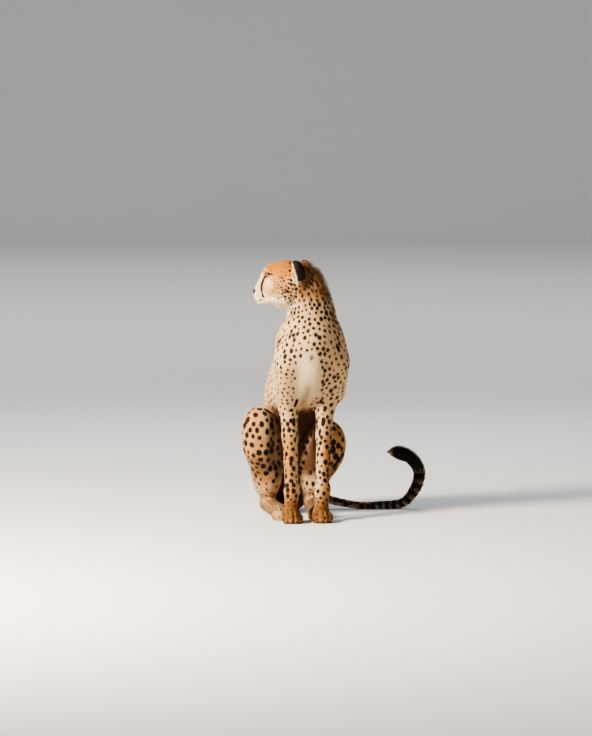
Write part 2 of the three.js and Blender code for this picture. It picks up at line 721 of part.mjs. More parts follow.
// A rounded wedge, narrow below.
function nosePad(extra) {
  const pad = new THREE.SphereGeometry(1, 14, 10);
  pad.rotateX(Math.PI / 2);
  const corner = new THREE.Vector3();
  for (let i = 0; i < pad.attributes.position.count; i += 1) {
    corner.fromBufferAttribute(pad.attributes.position, i);
    const narrow = 0.72 + 0.28 * Math.min(1, Math.max(-1, 1.6 * corner.z));
    const spot = headPoint(
      NOSE_PLACE[0] - corner.x * (NOSE_PAD[0] + extra),
      corner.y * (NOSE_PAD[1] * narrow + extra),
      NOSE_PLACE[2] + corner.z * (NOSE_PAD[2] + extra),
    );
    pad.attributes.position.setXYZ(i, ...spot.toArray());
  }
  return solidOf(pad);
}
place('nose', nosePad(0), NOSE);
place('head', head.subtract(nosePad(GAP)), FACE);

const EAR_REACH = [56, 62, 58]; // half the box an ear is cut from
for (const [side, sign] of [['left', 1], ['right', -1]]) {
  const centre = headPoint(EAR_PLACE[0], EAR_PLACE[1] * sign, EAR_PLACE[2]).toArray();
  const lines = centre.map((middle, i) =>
    gridLines([middle - EAR_REACH[i], middle + EAR_REACH[i], CELL.ear]));
  place(`ear_${side}`, facet(earForm(side, sign), ...lines, WANTED.ear), DARK);
}

const neckSpans = [[-140, 170], [-170, 130], [600, 900]];
const neck = facet(body, ...neckSpans.map((span) => gridLines([...span, CELL.neck])), WANTED.neck)
  .intersect(beyond(COLLAR.point, COLLAR.normal, HALF_GAP))
  .subtract(beyond(NAPE.point, NAPE.normal, -HALF_GAP));
place('neck', neck, COAT);

// Trunk: what is left below the collar once the legs are taken off.
const trunkSpans = [[-240, 220], [-160, 520], [-30, 760]];
let trunk = facet(body, ...trunkSpans.map((span) => gridLines([...span, CELL.trunk])), WANTED.trunk)
  .intersect(aboveFloor)
  .subtract(beyond(COLLAR.point, COLLAR.normal, -HALF_GAP));

// Cuts the claws' sockets into a leg and places both.
function placeLeg(name, leg, clawList) {
  let socketed = leg;
  for (const { name: clawName, claw, socket } of clawList) {
    socketed = socketed.subtract(socket);
    place(clawName, claw, CLAW);
  }
  place(name, socketed, COAT);
}

for (const side of ['left', 'right']) {
  const { forepaw, sign } = SIDES[side];
  for (const leg of ['foreleg', 'hindleg']) trunk = trunk.subtract(legBlock(side, leg, HALF_GAP));

  const foreX = sign > 0 ? [forepaw - 70, forepaw + 80] : [forepaw - 80, forepaw + 70];
  const foreLines = [
    gridLines([...foreX, CELL.foreleg]),
    gridLines([-100, 125, CELL.foreleg]),
    gridLines([-12, 72, 10], [72, 410, 22]),
  ];
  const foreleg = facet(body, ...foreLines, WANTED.foreleg)
    .intersect(aboveFloor)
    .intersect(legBlock(side, 'foreleg', -HALF_GAP));
  const foreClaws = claws(`forepaw_${side}`, forepaw, FOREPAW_Y, FOREPAW_HALF, FOREPAW_SPREAD);
  placeLeg(`foreleg_${side}`, foreleg, foreClaws);

  const hindX = [PELVIS_X, PELVIS_X + sign * 230].sort((a, b) => a - b);
  const hindLines = [
    gridLines([...hindX, CELL.hindleg]),
    gridLines([40, 170, 13], [170, 470, 19]),
    gridLines([-12, 60, 12], [60, 420, 19]),
  ];
  const hindleg = facet(body, ...hindLines, WANTED.hindleg)
    .intersect(aboveFloor)
    .intersect(legBlock(side, 'hindleg', -HALF_GAP));
  const hindpaw = PELVIS_X + sign * HINDPAW_X;
  const hindClaws = claws(`hindpaw_${side}`, hindpaw, HINDPAW_Y, HINDPAW_HALF, HINDPAW_SPREAD);
  placeLeg(`hindleg_${side}`, hindleg, hindClaws);
}

// The tail in four lengths, each a tapering tube with flat ends.
const tailCurve = smoothLine(TAIL_LINE.map(([x, y, z]) => [x, y, z]));
const tailRadii = smoothLine(TAIL_LINE.map((entry) => [entry[3], 0, 0]));

function tailLength(from, to, steps) {
  const positions = [];
  const triangles = [];
  const lastPlace = TAIL_LINE.length - 1;
  const shrink = HALF_GAP / tailCurve.getLength();
  for (let i = 0; i <= steps; i += 1) {
    const u = (from + shrink * lastPlace + ((to - from) * i) / steps) / lastPlace;
    const centre = tailCurve.getPoint(Math.min(u, 1));
    const along = tailCurve.getTangent(Math.min(u, 1));
    const radius = tailRadii.getPoint(Math.min(u, 1)).x;
    const out = new THREE.Vector3(0, 1, 0).addScaledVector(along, -along.y).normalize();
    const over = new THREE.Vector3().crossVectors(along, out);
    for (let k = 0; k < TAIL_SIDES; k += 1) {
      const turn = (2 * Math.PI * k) / TAIL_SIDES;
      const rim = centre.clone()
        .addScaledVector(out, radius * Math.cos(turn))
        .addScaledVector(over, radius * Math.sin(turn));
      positions.push(...rim.toArray());
    }
  }
  const ring = (i, k) => i * TAIL_SIDES + (k % TAIL_SIDES);
  for (let i = 0; i < steps; i += 1) {
    for (let k = 0; k < TAIL_SIDES; k += 1) {
      triangles.push(ring(i, k), ring(i, k + 1), ring(i + 1, k + 1));
      triangles.push(ring(i, k), ring(i + 1, k + 1), ring(i + 1, k));
    }
  }
  for (let k = 1; k + 1 < TAIL_SIDES; k += 1) {
    triangles.push(ring(0, 0), ring(0, k + 1), ring(0, k));
    triangles.push(ring(steps, 0), ring(steps, k), ring(steps, k + 1));
  }
  return solid(positions, triangles).intersect(aboveFloor);
}

const tailStart = tailCurve.getPoint(1 / (TAIL_LINE.length - 1));
const tailHeading = tailCurve.getTangent(1 / (TAIL_LINE.length - 1));
const stub = new THREE.BoxGeometry(140, 140, 100);
stub.translate(0, 0, 50 - HALF_GAP);
stub.applyQuaternion(new THREE.Quaternion().setFromUnitVectors(UP, tailHeading));
stub.translate(...tailStart.toArray());
trunk = trunk.subtract(solidOf(stub));
place('trunk', trunk, COAT);

place('tail_base', tailLength(1, 4, 8), COAT);
place('tail_middle', tailLength(4, 7, 9), COAT);
place('tail_curl', tailLength(7, 9, 6), DARK);
place('tail_tip', tailLength(9, TAIL_LINE.length - 1, 6), DARK);

export default cheetah;
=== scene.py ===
# %% [markdown]
# # A sitting cheetah, life size
# This lesson dresses a plain solid model of a young adult cheetah: skin, coat, eyes, nose, claws
# and whiskers. The solids come from a fixed frame, and everything here is laid on them.

# %% The fixed frame
import json
import math
from collections import namedtuple

import bmesh
import bpy
import numpy as np
from mathutils import Matrix
from mathutils.kdtree import KDTree

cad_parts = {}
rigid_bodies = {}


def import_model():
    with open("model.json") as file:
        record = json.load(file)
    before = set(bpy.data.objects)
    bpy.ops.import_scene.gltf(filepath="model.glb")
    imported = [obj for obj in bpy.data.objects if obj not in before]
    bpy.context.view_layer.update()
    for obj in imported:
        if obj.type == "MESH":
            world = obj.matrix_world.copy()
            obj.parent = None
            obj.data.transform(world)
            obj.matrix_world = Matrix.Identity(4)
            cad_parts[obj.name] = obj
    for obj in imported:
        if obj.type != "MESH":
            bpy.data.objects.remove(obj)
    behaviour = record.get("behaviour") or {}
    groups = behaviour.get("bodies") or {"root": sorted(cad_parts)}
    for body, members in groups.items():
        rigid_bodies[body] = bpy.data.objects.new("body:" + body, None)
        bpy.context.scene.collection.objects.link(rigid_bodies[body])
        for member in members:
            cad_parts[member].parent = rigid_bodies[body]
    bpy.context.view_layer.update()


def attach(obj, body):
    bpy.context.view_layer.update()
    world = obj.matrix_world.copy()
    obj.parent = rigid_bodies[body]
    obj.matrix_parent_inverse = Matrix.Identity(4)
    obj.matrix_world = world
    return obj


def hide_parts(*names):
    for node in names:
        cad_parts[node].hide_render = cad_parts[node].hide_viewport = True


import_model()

MM = 0.001  # the frame is in metres, and a body is easier to think of in millimetres
random = np.random.default_rng(11)

# %% [markdown]
# ## Flesh as a field
# An animal has no flat face to start from. Its form is bones and muscles under one skin, so the
# body is written as a field: a function that says how far any point is from the surface. Each
# muscle or bone is a tapering limb or a ball, and neighbours melt together by a smooth minimum.
# Sculpting by hand would also do, but a field can be checked against the solids and gives the
# lie of the hair for free.

# %% Limbs, balls and how they melt together
Form = namedtuple("Form", "distance lie low high")
FAR = 1000.0
REACH = 90.0  # past this distance a form has no say in the surface


def unit(v):
    v = np.asarray(v, float)
    return v / np.linalg.norm(v, axis=-1, keepdims=True)


def ramp(start, end, value):
    t = np.clip((value - start) / (end - start), 0, 1)
    return t * t * (3 - 2 * t)


def smooth_min(a, b, soft):
    h = np.maximum(soft - np.abs(a - b), 0) / soft
    return np.minimum(a, b) - h * h * soft / 4


def roundness(q, radii):
    """Distance to an ellipsoid, for points given in units of its three radii."""
    size = np.linalg.norm(q, axis=1)
    slope = np.linalg.norm(q / radii, axis=1)
    return size * (size - 1) / np.maximum(slope, 1e-9)


def limb(a, b, radii_a, radii_b, deep_way=(0, 1, 0), lie=1, egg=0):
    """A tapering rod. Radii are one number or (wide, deep), and an egg shape is narrower against
    the deep way. Its hair lies along it, against it, or along a way of its own."""
    a, b = np.array(a, float), np.array(b, float)
    length = np.linalg.norm(b - a)
    along = (b - a) / length
    deep = unit(np.array(deep_way, float) - along * (along @ np.array(deep_way, float)))
    wide = np.cross(along, deep)
    (wa, da), (wb, db) = np.broadcast_to(radii_a, 2), np.broadcast_to(radii_b, 2)

    def distance(p):
        q = p - a
        run = q @ along
        t = np.clip(run / length, 0, 1)
        rw, rd = wa + (wb - wa) * t, da + (db - da) * t
        breadth = rw * (1 + egg * np.clip(q @ deep / rd, -1, 1))
        radii = np.stack([breadth, rd, np.minimum(rw, rd)], 1)
        return roundness(np.stack([q @ wide, q @ deep, run - t * length], 1) / radii, radii)

    reach = max(wa, da, wb, db)
    hair = along * lie if np.ndim(lie) == 0 else unit(lie)
    return Form(distance, hair, np.minimum(a, b) - reach, np.maximum(a, b) + reach)


def ball(centre, radii, axes=np.eye(3), lie=(0, 0, -1)):
    """An ellipsoid with its radii along three axes."""
    centre, radii, axes = (np.array(v, float) for v in (centre, radii, axes))
    reach = radii.max()
    return Form(
        lambda p: roundness((p - centre) @ axes.T / radii, radii), unit(lie), centre - reach, centre + reach
    )


def blend(soft, forms):
    """Forms melted together one after another, worked out only for the points near them."""
    low = np.min([f.low for f in forms], 0) - REACH
    high = np.max([f.high for f in forms], 0) + REACH

    def distance(p):
        d = np.full(len(p), FAR)
        near = np.all((p > low) & (p < high), 1)
        for form in forms:
            d[near] = smooth_min(d[near], form.distance(p[near]), soft)
        return d

    return distance


def curve(points, steps):
    """A smooth line through points, in equal steps of its parameter."""
    p = np.array(points, float)
    p = np.vstack([2 * p[0] - p[1], p, 2 * p[-1] - p[-2]])
    s = np.linspace(0, len(p) - 3, steps + 1)
    i = np.minimum(s.astype(int), len(p) - 4)
    t = (s - i)[:, None]
    a, b, c, d = (p[i + k] for k in range(4))
    return b + 0.5 * t * (c - a + t * (2 * a - 5 * b + 4 * c - d + t * (3 * b - a - 3 * c + d)))


test_ball = ball((0, 0, 0), (10, 10, 10))
print("from 20 mm out to a ball of 10 mm:", test_ball.distance(np.array([[20.0, 0.0, 0.0]])), "mm")

# %% [markdown]
# ## Trunk, neck and tail
# The sitting trunk drops from the withers to the rump in one bow. It is a chain of oval links,
# each as deep as the back is from the belly. The neck stands on it, and the tail runs round to
# the animal's left and curls up at its end. Hair lies from the head down to the tail's tip.

# %% Trunk, neck and tail
ORIGIN = np.array([148.0, 177.0, 0.0])  # the frame's origin, in the body's own millimetres
CHEST_X, PELVIS_X = 12, -15
WITHERS_Y, WITHERS_Z = 50, 700
RUMP_Y, RUMP_Z = 438, 150
TRUNK_SECTIONS = [  # x, top y, top z, bottom y, bottom z, half width
    [CHEST_X, WITHERS_Y - 10, WITHERS_Z - 5, -112, 575, 90],
    [CHEST_X, WITHERS_Y + 62, WITHERS_Z - 42, -74, 490, 100],
    [CHEST_X - 3, WITHERS_Y + 140, WITHERS_Z - 108, 22, 424, 106],
    [0, WITHERS_Y + 218, WITHERS_Z - 196, 112, 374, 106],
    [-8, WITHERS_Y + 288, WITHERS_Z - 300, 180, 290, 98],
    [PELVIS_X, WITHERS_Y + 345, WITHERS_Z - 415, 236, 180, 92],
    [PELVIS_X, RUMP_Y - 12, RUMP_Z + 32, 296, 85, 84],
]
TRUNK_LINKS = 20
KEEL = 0.2
TAIL_LINE = [  # x, y, z, radius
    [PELVIS_X + 2, 398, 118, 44],
    [2, 452, 78, 27],
    [60, 472, 54, 21],
    [154, 440, 33, 17],
    [253, 408, 13.6, 14.5],
    [340, 398, 14.4, 15.2],
    [418, 397, 21, 18],
    [464, 399, 70, 21],
    [480, 401, 128, 24],
    [456, 403, 176, 27],
    [412, 405, 201, 27],
    [374, 406, 205, 10],
]
TAIL_LINKS = 44


def trunk_forms():
    sections = curve(TRUNK_SECTIONS, TRUNK_LINKS)
    top, bottom, wide = sections[:, :3], sections[:, [0, 3, 4]], sections[:, 5]
    middle, deep = (top + bottom) / 2, np.linalg.norm(top - bottom, axis=1) / 2
    forms = [
        limb(
            middle[i], middle[i + 1], [wide[i], deep[i]], [wide[i + 1], deep[i + 1]],
            top[i] - bottom[i], egg=KEEL,
        )
        for i in range(TRUNK_LINKS)
    ]
    forms.append(ball([PELVIS_X, 362, 90], [94, 72, 94]))
    root, base = np.array(TAIL_LINE[0], float), np.array(TAIL_LINE[1], float)
    forms.append(limb(root[:3], base[:3], root[3], base[3]))
    return forms


NECK_FORMS = [
    limb([CHEST_X, -20, 630], [CHEST_X - 2, -10, 728], [104, 88], [80, 74], lie=-1),
    limb([CHEST_X - 2, -10, 728], [0, -14, 800], [80, 74], [64, 64], lie=-1),
    limb([0, -14, 800], [-2, -12, 852], [64, 64], [52, 54], lie=-1),
    limb([CHEST_X + 4, -30, 770], [CHEST_X, -62, 640], 46, 60),
]
TAIL_COURSE = curve(TAIL_LINE, TAIL_LINKS)
TAIL_FORMS = [
    limb(p[:3], q[:3], p[3], q[3])
    for p, q in zip(TAIL_COURSE[:-1], TAIL_COURSE[1:])
]
print("trunk, neck and tail forms:", TRUNK_LINKS + 2, len(NECK_FORMS), len(TAIL_FORMS))

# %% [markdown]
# ## The head
# A cheetah's head is small, short and domed, with high eyes and a blunt muzzle. Its forms are
# placed by how far they lie behind the nose tip, to the animal's left, and above it, so the head
# turns as one. Hair lies back from the nose, over the crown and down the cheeks.

# %% The head's own axes and forms
NOSE_TIP = np.array([-187.0, 42.0, 805.0])
UP = np.array([0.0, 0.0, 1.0])
FACING = unit([-0.93, 0.37, 0])
HEAD_LEFT = np.array([-FACING[1], FACING[0], 0])
HEAD_AXES = [FACING, HEAD_LEFT, UP]
EYE_RADIUS = 13
EYE_PLACE = [63, 32.5, 61]
ORBIT = [13, 12, 8.5]
NOSE_PAD = [9, 15, 10]
NOSE_PLACE = [7, 0, 2]
EAR_PLACE = [172, 62, 71]
EAR_SIZE = [26, 31, 47]
EAR_LEAN = {1: 0.34, -1: 0.85}


def head_point(back, left, up):
    return NOSE_TIP - FACING * back + HEAD_LEFT * left + UP * up


def head_place(p):
    """How far points lie behind the nose tip, to the animal's left of it, and above it."""
    q = p - NOSE_TIP
    return -(q @ FACING), q @ HEAD_LEFT, q @ UP


def head_way(back, left, up):
    return -FACING * back + HEAD_LEFT * left + UP * up


def lump(back, left, up, radii, lie=(1, 0, 0)):
    return ball(head_point(back, left, up), radii, HEAD_AXES, head_way(*lie))


def bar(a, b, radii_a, radii_b, lie):
    return limb(head_point(*a), head_point(*b), radii_a, radii_b, UP, head_way(*lie))


HEAD_FORMS = [
    lump(122, 0, 48, [80, 60, 66], (1, 0, -0.25)),  # skull
    lump(150, 0, 28, [52, 58, 58], (1, 0, -0.9)),  # back of the head
    lump(174, 0, 69, [40, 44, 43], (1, 0, -0.6)),  # crest of the nape
    lump(72, 0, 60, [38, 38, 40], (1, 0, 0.7)),  # forehead
    bar([44, 0, 52], [13, 0, 10], [19, 18], [12, 9], (0.7, 0, 1)),  # bridge of the nose
    lump(33, 0, -9, [28, 25, 21], (1, 0, -0.4)),  # muzzle
    lump(34, 0, -30, [19, 15, 13], (1, 0, -0.5)),  # chin
    lump(108, 0, -28, [42, 36, 30], (1, 0, -0.6)),  # throat
]
for s in (1, -1):
    HEAD_FORMS += [
        lump(26, 13 * s, -12, [19, 15, 15], (1, 0.5 * s, -0.5)),  # whisker pad
        lump(59, 28 * s, 79, [17, 15, 9], (1, 0.3 * s, 0.6)),  # brow
        lump(47, 16 * s, 22, [24, 17, 27], (1, 0.6 * s, -0.1)),  # between nose and cheek
        lump(86, 34 * s, 20, [38, 25, 36], (1, 0.3 * s, -0.35)),  # cheek
        lump(122, 40 * s, 4, [34, 24, 46], (0.8, 0.2 * s, -0.9)),  # cheek ruff
        bar([32, 8 * s, -27], [98, 28 * s, -14], 13, 22, (1, 0.2 * s, -0.4)),  # jaw
    ]
print("head forms:", len(HEAD_FORMS))

# %% [markdown]
# ## Legs and paws
# The forelegs stand straight under the shoulders. The hind legs are folded: a deep thigh, the
# knee high and forward, the shank coming back to the heel, and the long foot flat on the ground.
# Cat toes are four soft balls in an arc, the middle two furthest forward.

# %% Legs and paws
ELBOW_Z = 400
FOREPAW_Y, HINDPAW_Y, HINDPAW_X = -26, 100, 64
FOREPAW_HALF, FOREPAW_SPREAD = [34, 46, 27], 16.5
HINDPAW_HALF, HINDPAW_SPREAD = [31, 46, 25], 15
Side = namedtuple("Side", "sign shoulder triceps elbow forearm wrist forepaw knee knee_z")
SIDES = {
    "left": Side(1, 99, 107, 71, 64, 53, 44, 119, 264),
    "right": Side(-1, -80, -71, -58, -57, -56, -62, 130, 316),
}
TO_TOES = (0, -1, -0.25)
TOES = (-1.5, -0.5, 0.5, 1.5)
MIDDLE_TOE, OUTER_TOE = 0.62, 0.42  # how far the toes lie before a paw's middle, in its lengths


def toe_y(y, long, step):
    return y - long * (MIDDLE_TOE if abs(step) < 1 else OUTER_TOE)


Paw = namedtuple("Paw", "x y half spread")
PAWS = {}
for name, side in SIDES.items():
    PAWS["forepaw_" + name] = Paw(side.forepaw, FOREPAW_Y, FOREPAW_HALF, FOREPAW_SPREAD)
    PAWS["hindpaw_" + name] = Paw(
        PELVIS_X + side.sign * HINDPAW_X, HINDPAW_Y, HINDPAW_HALF, HINDPAW_SPREAD
    )


def paw_forms(x, y, half, spread):
    wide, long, high = half
    forms = [ball([x, y, high - 2], [wide - 3, long, high], lie=TO_TOES)]
    for step in TOES:
        place = [x + step * spread, toe_y(y, long, step), high * 0.58]
        forms.append(ball(place, [spread * 0.72, 22, high * 0.66], lie=TO_TOES))
    return forms


def foreleg(name, side):
    s, blade = side.sign, side.shoulder
    upper = [
        limb([blade - s * 12, 34, 645], [blade - s * 2, -28, 560], [32, 62], [38, 52], lie=(0, 0.2, -1)),
        limb([blade - s * 2, -28, 560], [side.elbow, 60, ELBOW_Z], [40, 54], [33, 36], lie=(0, 0.2, -1)),
        limb([blade + s * 2, 22, 520], [side.triceps, 64, ELBOW_Z + 50], [42, 56], [36, 44]),
    ]
    lower = [
        limb([side.elbow, 60, ELBOW_Z], [side.forearm, 40, 300], [34, 38], [28, 32]),
        limb([side.forearm, 40, 300], [side.wrist, 12, 118], [28, 32], [24, 25]),
        ball([side.wrist, 8, 112], [27, 28, 30]),
        limb([side.wrist, 8, 112], [side.forepaw, -12, 34], [25, 25], [27, 24]),
    ]
    return upper, lower + paw_forms(*PAWS["forepaw_" + name])


def hindleg(name, side):
    def across(distance):
        return PELVIS_X + side.sign * distance

    drop = side.knee_z - 300
    thigh_end = [across(side.knee - 7), 215, 268 + drop]
    return [
        limb([across(70), 335, 190], thigh_end, [60, 108], [60, 98], [0, 0.5, 1], (0, 0.35, -1)),
        ball([across(side.knee), 170, side.knee_z - 5], [63, 62, 84], lie=(0, 0.15, -1)),
        limb([across(side.knee - 2), 182, 240 + drop / 2], [across(78), 298, 74], [54, 62], [30, 38]),
        ball([across(84), 272, 150], [52, 92, 92], lie=(0, 0.5, -1)),
        limb([across(80), 318, 38], [across(66), 128, 28], [26, 31], [26, 26], [0, 0, 1]),
        *paw_forms(*PAWS["hindpaw_" + name]),
    ]


FORELEGS = {name: foreleg(name, side) for name, side in SIDES.items()}
HINDLEGS = {name: hindleg(name, side) for name, side in SIDES.items()}
print("forms of a foreleg:", sum(len(part) for part in FORELEGS["left"]))
print("forms of a hind leg:", len(HINDLEGS["left"]))

# %% The whole body's field
TRUNK_FORMS = trunk_forms()
trunk_distance = blend(24, TRUNK_FORMS)
neck_distance = blend(30, NECK_FORMS)
head_flesh = blend(16, HEAD_FORMS)
orbit_distance = blend(1e-3, [
    lump(EYE_PLACE[0] - 9, (EYE_PLACE[1] + 7) * s, EYE_PLACE[2], ORBIT) for s in (1, -1)
])
tail_distance = blend(4, TAIL_FORMS)
fore_distance = {n: (blend(30, up), blend(14, low)) for n, (up, low) in FORELEGS.items()}
hind_distance = {n: blend(22, forms) for n, forms in HINDLEGS.items()}


def body_parts(p):
    """How far points are from each part of the body, before the parts melt together."""
    parts = {
        "trunk": trunk_distance(p),
        "neck": neck_distance(p),
        "head": -smooth_min(-head_flesh(p), orbit_distance(p), 9),
        "tail": tail_distance(p),
    }
    for name in SIDES:
        upper, lower = fore_distance[name]
        parts["fore_" + name] = smooth_min(upper(p), lower(p), 20)
        parts["hind_" + name] = hind_distance[name](p)
    return parts


def body_distance(p, parts):
    d = smooth_min(parts["trunk"], parts["neck"], 36)
    d = smooth_min(d, parts["head"], 24)
    shoulder = 3 + 37 * ramp(ELBOW_Z - 50, ELBOW_Z + 50, p[:, 2])
    haunch = 3 + 37 * ramp(110, 190, p[:, 2]) * ramp(120, 210, p[:, 1])
    for name in SIDES:
        d = smooth_min(d, parts["hind_" + name], haunch)
        d = smooth_min(d, parts["fore_" + name], shoulder)
    return smooth_min(d, parts["tail"], 6)


ALL_FORMS = TRUNK_FORMS + NECK_FORMS + HEAD_FORMS + TAIL_FORMS
for name in SIDES:
    ALL_FORMS += FORELEGS[name][0] + FORELEGS[name][1] + HINDLEGS[name]
print("forms in all:", len(ALL_FORMS))

# %% [markdown]
# ## How deep the coat is
# The solids are drawn out to the tips of the coat, so the skin lies inside them by the coat's
# depth: a millimetre or two on the face and paws, five on the body, more along the mane that a
# young cheetah still has on its nape, and most on the brush of the tail.

# %% Depth of the coat
PARTS = ["trunk", "neck", "head", "tail", "fore_left", "hind_left", "fore_right", "hind_right"]
COAT_DEPTH = {"trunk": 5.0, "neck": 5.0, "head": 1.6, "tail": 4.5, "fore": 3.4, "hind": 4.2}
TAIL_TIP_DEPTH = 9.0
PAW_DEPTH = 1.8
MANE_DEPTH = 4.0
PART_BORDER = 16.0  # how gently one part's coat turns into the next


def part_shares(parts):
    """How much of each point's coat belongs to each part: shares that add up to one."""
    d = np.stack([parts[n] for n in PARTS])
    share = np.exp(-(d - d.min(0)) / PART_BORDER)
    return dict(zip(PARTS, share / share.sum(0)))


def mane_share(p):
    """The nape's mane: it runs from the crown down the back of the neck."""
    back, left, up = head_place(p)
    nape = ramp(150, 185, back) * ramp(120, 60, np.abs(left)) * ramp(-60, 10, up)
    ridge = ramp(-6, 40, p[:, 1]) * ramp(650, 720, p[:, 2]) * ramp(100, 40, np.abs(p[:, 0] - 30))
    return np.maximum(nape, ridge)


def coat_depth(p, share):
    back, _, _ = head_place(p)
    depth = sum(share[n] * COAT_DEPTH[n.split("_")[0]] for n in PARTS)
    depth += share["head"] * 2.2 * ramp(60, 120, back)
    depth += (
        share["tail"] * (TAIL_TIP_DEPTH - COAT_DEPTH["tail"])
        * ramp(60, 190, p[:, 2]) * ramp(380, 430, p[:, 0])
    )
    depth += MANE_DEPTH * mane_share(p)
    return depth + (
        (PAW_DEPTH - depth) * ramp(75, 40, p[:, 2]) * (1 - share["tail"]) * ramp(330, 250, p[:, 1])
    )


print("coat depth:", COAT_DEPTH["head"], "to", TAIL_TIP_DEPTH, "mm")

# %% [markdown]
# ## Ears, lids, nose and toes
# The solids stop at what a hand can feel through the coat. The skin adds what the coat doesn't
# hide: round ears open to the front, lids drawn over the eyeballs, the seat of the nose and the
# clefts between the toes. The mouth is shut, and a dark line is enough for it.

# %% The skin's own details
LID = 1.7  # a lid's thickness over the eyeball
EYE_SLIT = [14.0, 6.4, 5.0]  # half length of the opening, and its height above and below the middle
EYE_TURN = math.radians(42)  # how far each eye looks out to its side
EYE_TILT = math.radians(20)  # how far the inner corner drops
EAR_WALL = 1.2
CLEFT = [(-9, 0.12), (-16, 0.42), (-16.5, 0.75), (-10, 1.4), (4, 1.9)]  # before a toe, in heights
CLEFT_HALF = 3.0
FLOOR_GAP = 0.4  # how far the skin stays above the floor
FACE_REACH, EAR_REACH, EYE_REACH = 110, 150, 45  # how far out these details are worked out


def eye_axes(s):
    """An eye's gaze, the way along its slit from inner to outer corner, and the way up."""
    gaze = unit(FACING * math.cos(EYE_TURN) + HEAD_LEFT * s * math.sin(EYE_TURN) + UP * 0.05)
    level = unit(np.cross(UP, gaze)) * s
    along = unit(level * math.cos(EYE_TILT) + UP * math.sin(EYE_TILT))
    return gaze, along, unit(np.cross(gaze, along)) * s


def eye_place(p, s):
    centre = head_point(EYE_PLACE[0], EYE_PLACE[1] * s, EYE_PLACE[2])
    q = p - centre
    gaze, along, over = eye_axes(s)
    return np.linalg.norm(q, axis=1), q @ gaze, q @ along, q @ over


def eye_opening(p, s):
    """How far points are inside (negative) the almond opening between the lids."""
    _, front, along, over = eye_place(p, s)
    half, above, below = EYE_SLIT
    arch = 1 - (along / half) ** 2
    edge = np.where(over > 0, over - above * arch, -over - below * arch)
    return np.where(front > 0, edge, FAR)


def ear_axes(s):
    outward = HEAD_LEFT * s
    rise = unit(UP + EAR_LEAN[s] * outward + 0.2 * FACING)
    face = FACING + 0.3 * outward
    face = unit(face - rise * (face @ rise))
    return face, np.cross(rise, face), rise


def ear_form(s):
    face, across, rise = ear_axes(s)
    centre = head_point(EAR_PLACE[0], EAR_PLACE[1] * s, EAR_PLACE[2])
    deep, wide, high = EAR_SIZE
    cup = ball(centre, EAR_SIZE, [face, across, rise], rise)
    hollow = ball(
        centre + face * 0.75 * deep, [0.95 * deep, wide - 8, high - 9], [face, across, rise], rise
    )
    return cup, hollow


EARS = {s: ear_form(s) for s in (1, -1)}


def ear_distance(p):
    d = np.full(len(p), FAR)
    near = np.linalg.norm(p - head_point(EAR_PLACE[0], 0, EAR_PLACE[2]), axis=1) < EAR_REACH
    q = p[near]
    both = [np.maximum(cup.distance(q), -hollow.distance(q)) for cup, hollow in EARS.values()]
    d[near] = np.minimum(*both)
    return d


def rod_distance(p, line, radius):
    """Distance to a thin rod bent through the points of a line."""
    d = np.full(len(p), FAR)
    for a, b in zip(line[:-1], line[1:]):
        t = np.clip((p - a) @ (b - a) / ((b - a) @ (b - a)), 0, 1)
        d = np.minimum(d, np.linalg.norm(p - a - t[:, None] * (b - a), axis=1) - radius)
    return d


def face_details(p, d):
    """Lids over the eyeballs, the slits between them, and the seat of the nose."""
    for s in (1, -1):
        away, _, _, _ = eye_place(p, s)
        lids = smooth_min(d, away - EYE_RADIUS - LID, 5)
        slit = np.maximum(eye_opening(p, s), EYE_RADIUS - 1.2 - away)
        d = np.where(away < EYE_REACH, -smooth_min(-lids, slit, 1.2), d)
    nose = ball(head_point(*NOSE_PLACE), [r + 0.1 for r in NOSE_PAD], HEAD_AXES)
    return -smooth_min(-d, nose.distance(p) + 1.2, 1.5)


def cleft_lines():
    """The middle of each cleft, from under the toes up over the knuckles."""
    lines = []
    for x, y, (_, long, high), spread in PAWS.values():
        for step in (-1, 0, 1):
            toe = toe_y(y, long, 0.5 + abs(step)) - 2 * abs(step)
            lines.append(np.array([[x + step * spread, toe + out, up * high] for out, up in CLEFT]))
    return lines


def cleft_distance(p):
    d = np.full(len(p), FAR)
    low = p[:, 2] < 70
    for line in cleft_lines():
        d[low] = np.minimum(d[low], rod_distance(p[low], line, CLEFT_HALF))
    return d


def skin_distance(p):
    parts = body_parts(p)
    share = part_shares(parts)
    d = body_distance(p, parts) + coat_depth(p, share)
    d = smooth_min(d, ear_distance(p) + EAR_WALL, 5)
    face = np.linalg.norm(p - head_point(60, 0, 30), axis=1) < FACE_REACH
    d[face] = face_details(p[face], d[face])
    d = -smooth_min(-d, cleft_distance(p), 4)
    return np.maximum(d, FLOOR_GAP - p[:, 2])


print("clefts between toes:", len(cleft_lines()))

# %% [markdown]
# ## From field to mesh
# A surface net turns the field into quads: space is cut into cells, each cell that the surface
# crosses gets one point, and points of neighbouring cells are joined. The cells shrink towards
# the head, which needs the finest skin, by letting the grid narrow as it rises. Most of space is
# far from the skin, so blocks of cells are first asked once each, and skipped when they are far.

# %% The surface net
BLOCK = 4
BATCH = 150_000


def in_batches(function, p):
    return np.concatenate([function(p[i:i + BATCH]) for i in range(0, len(p), BATCH)])


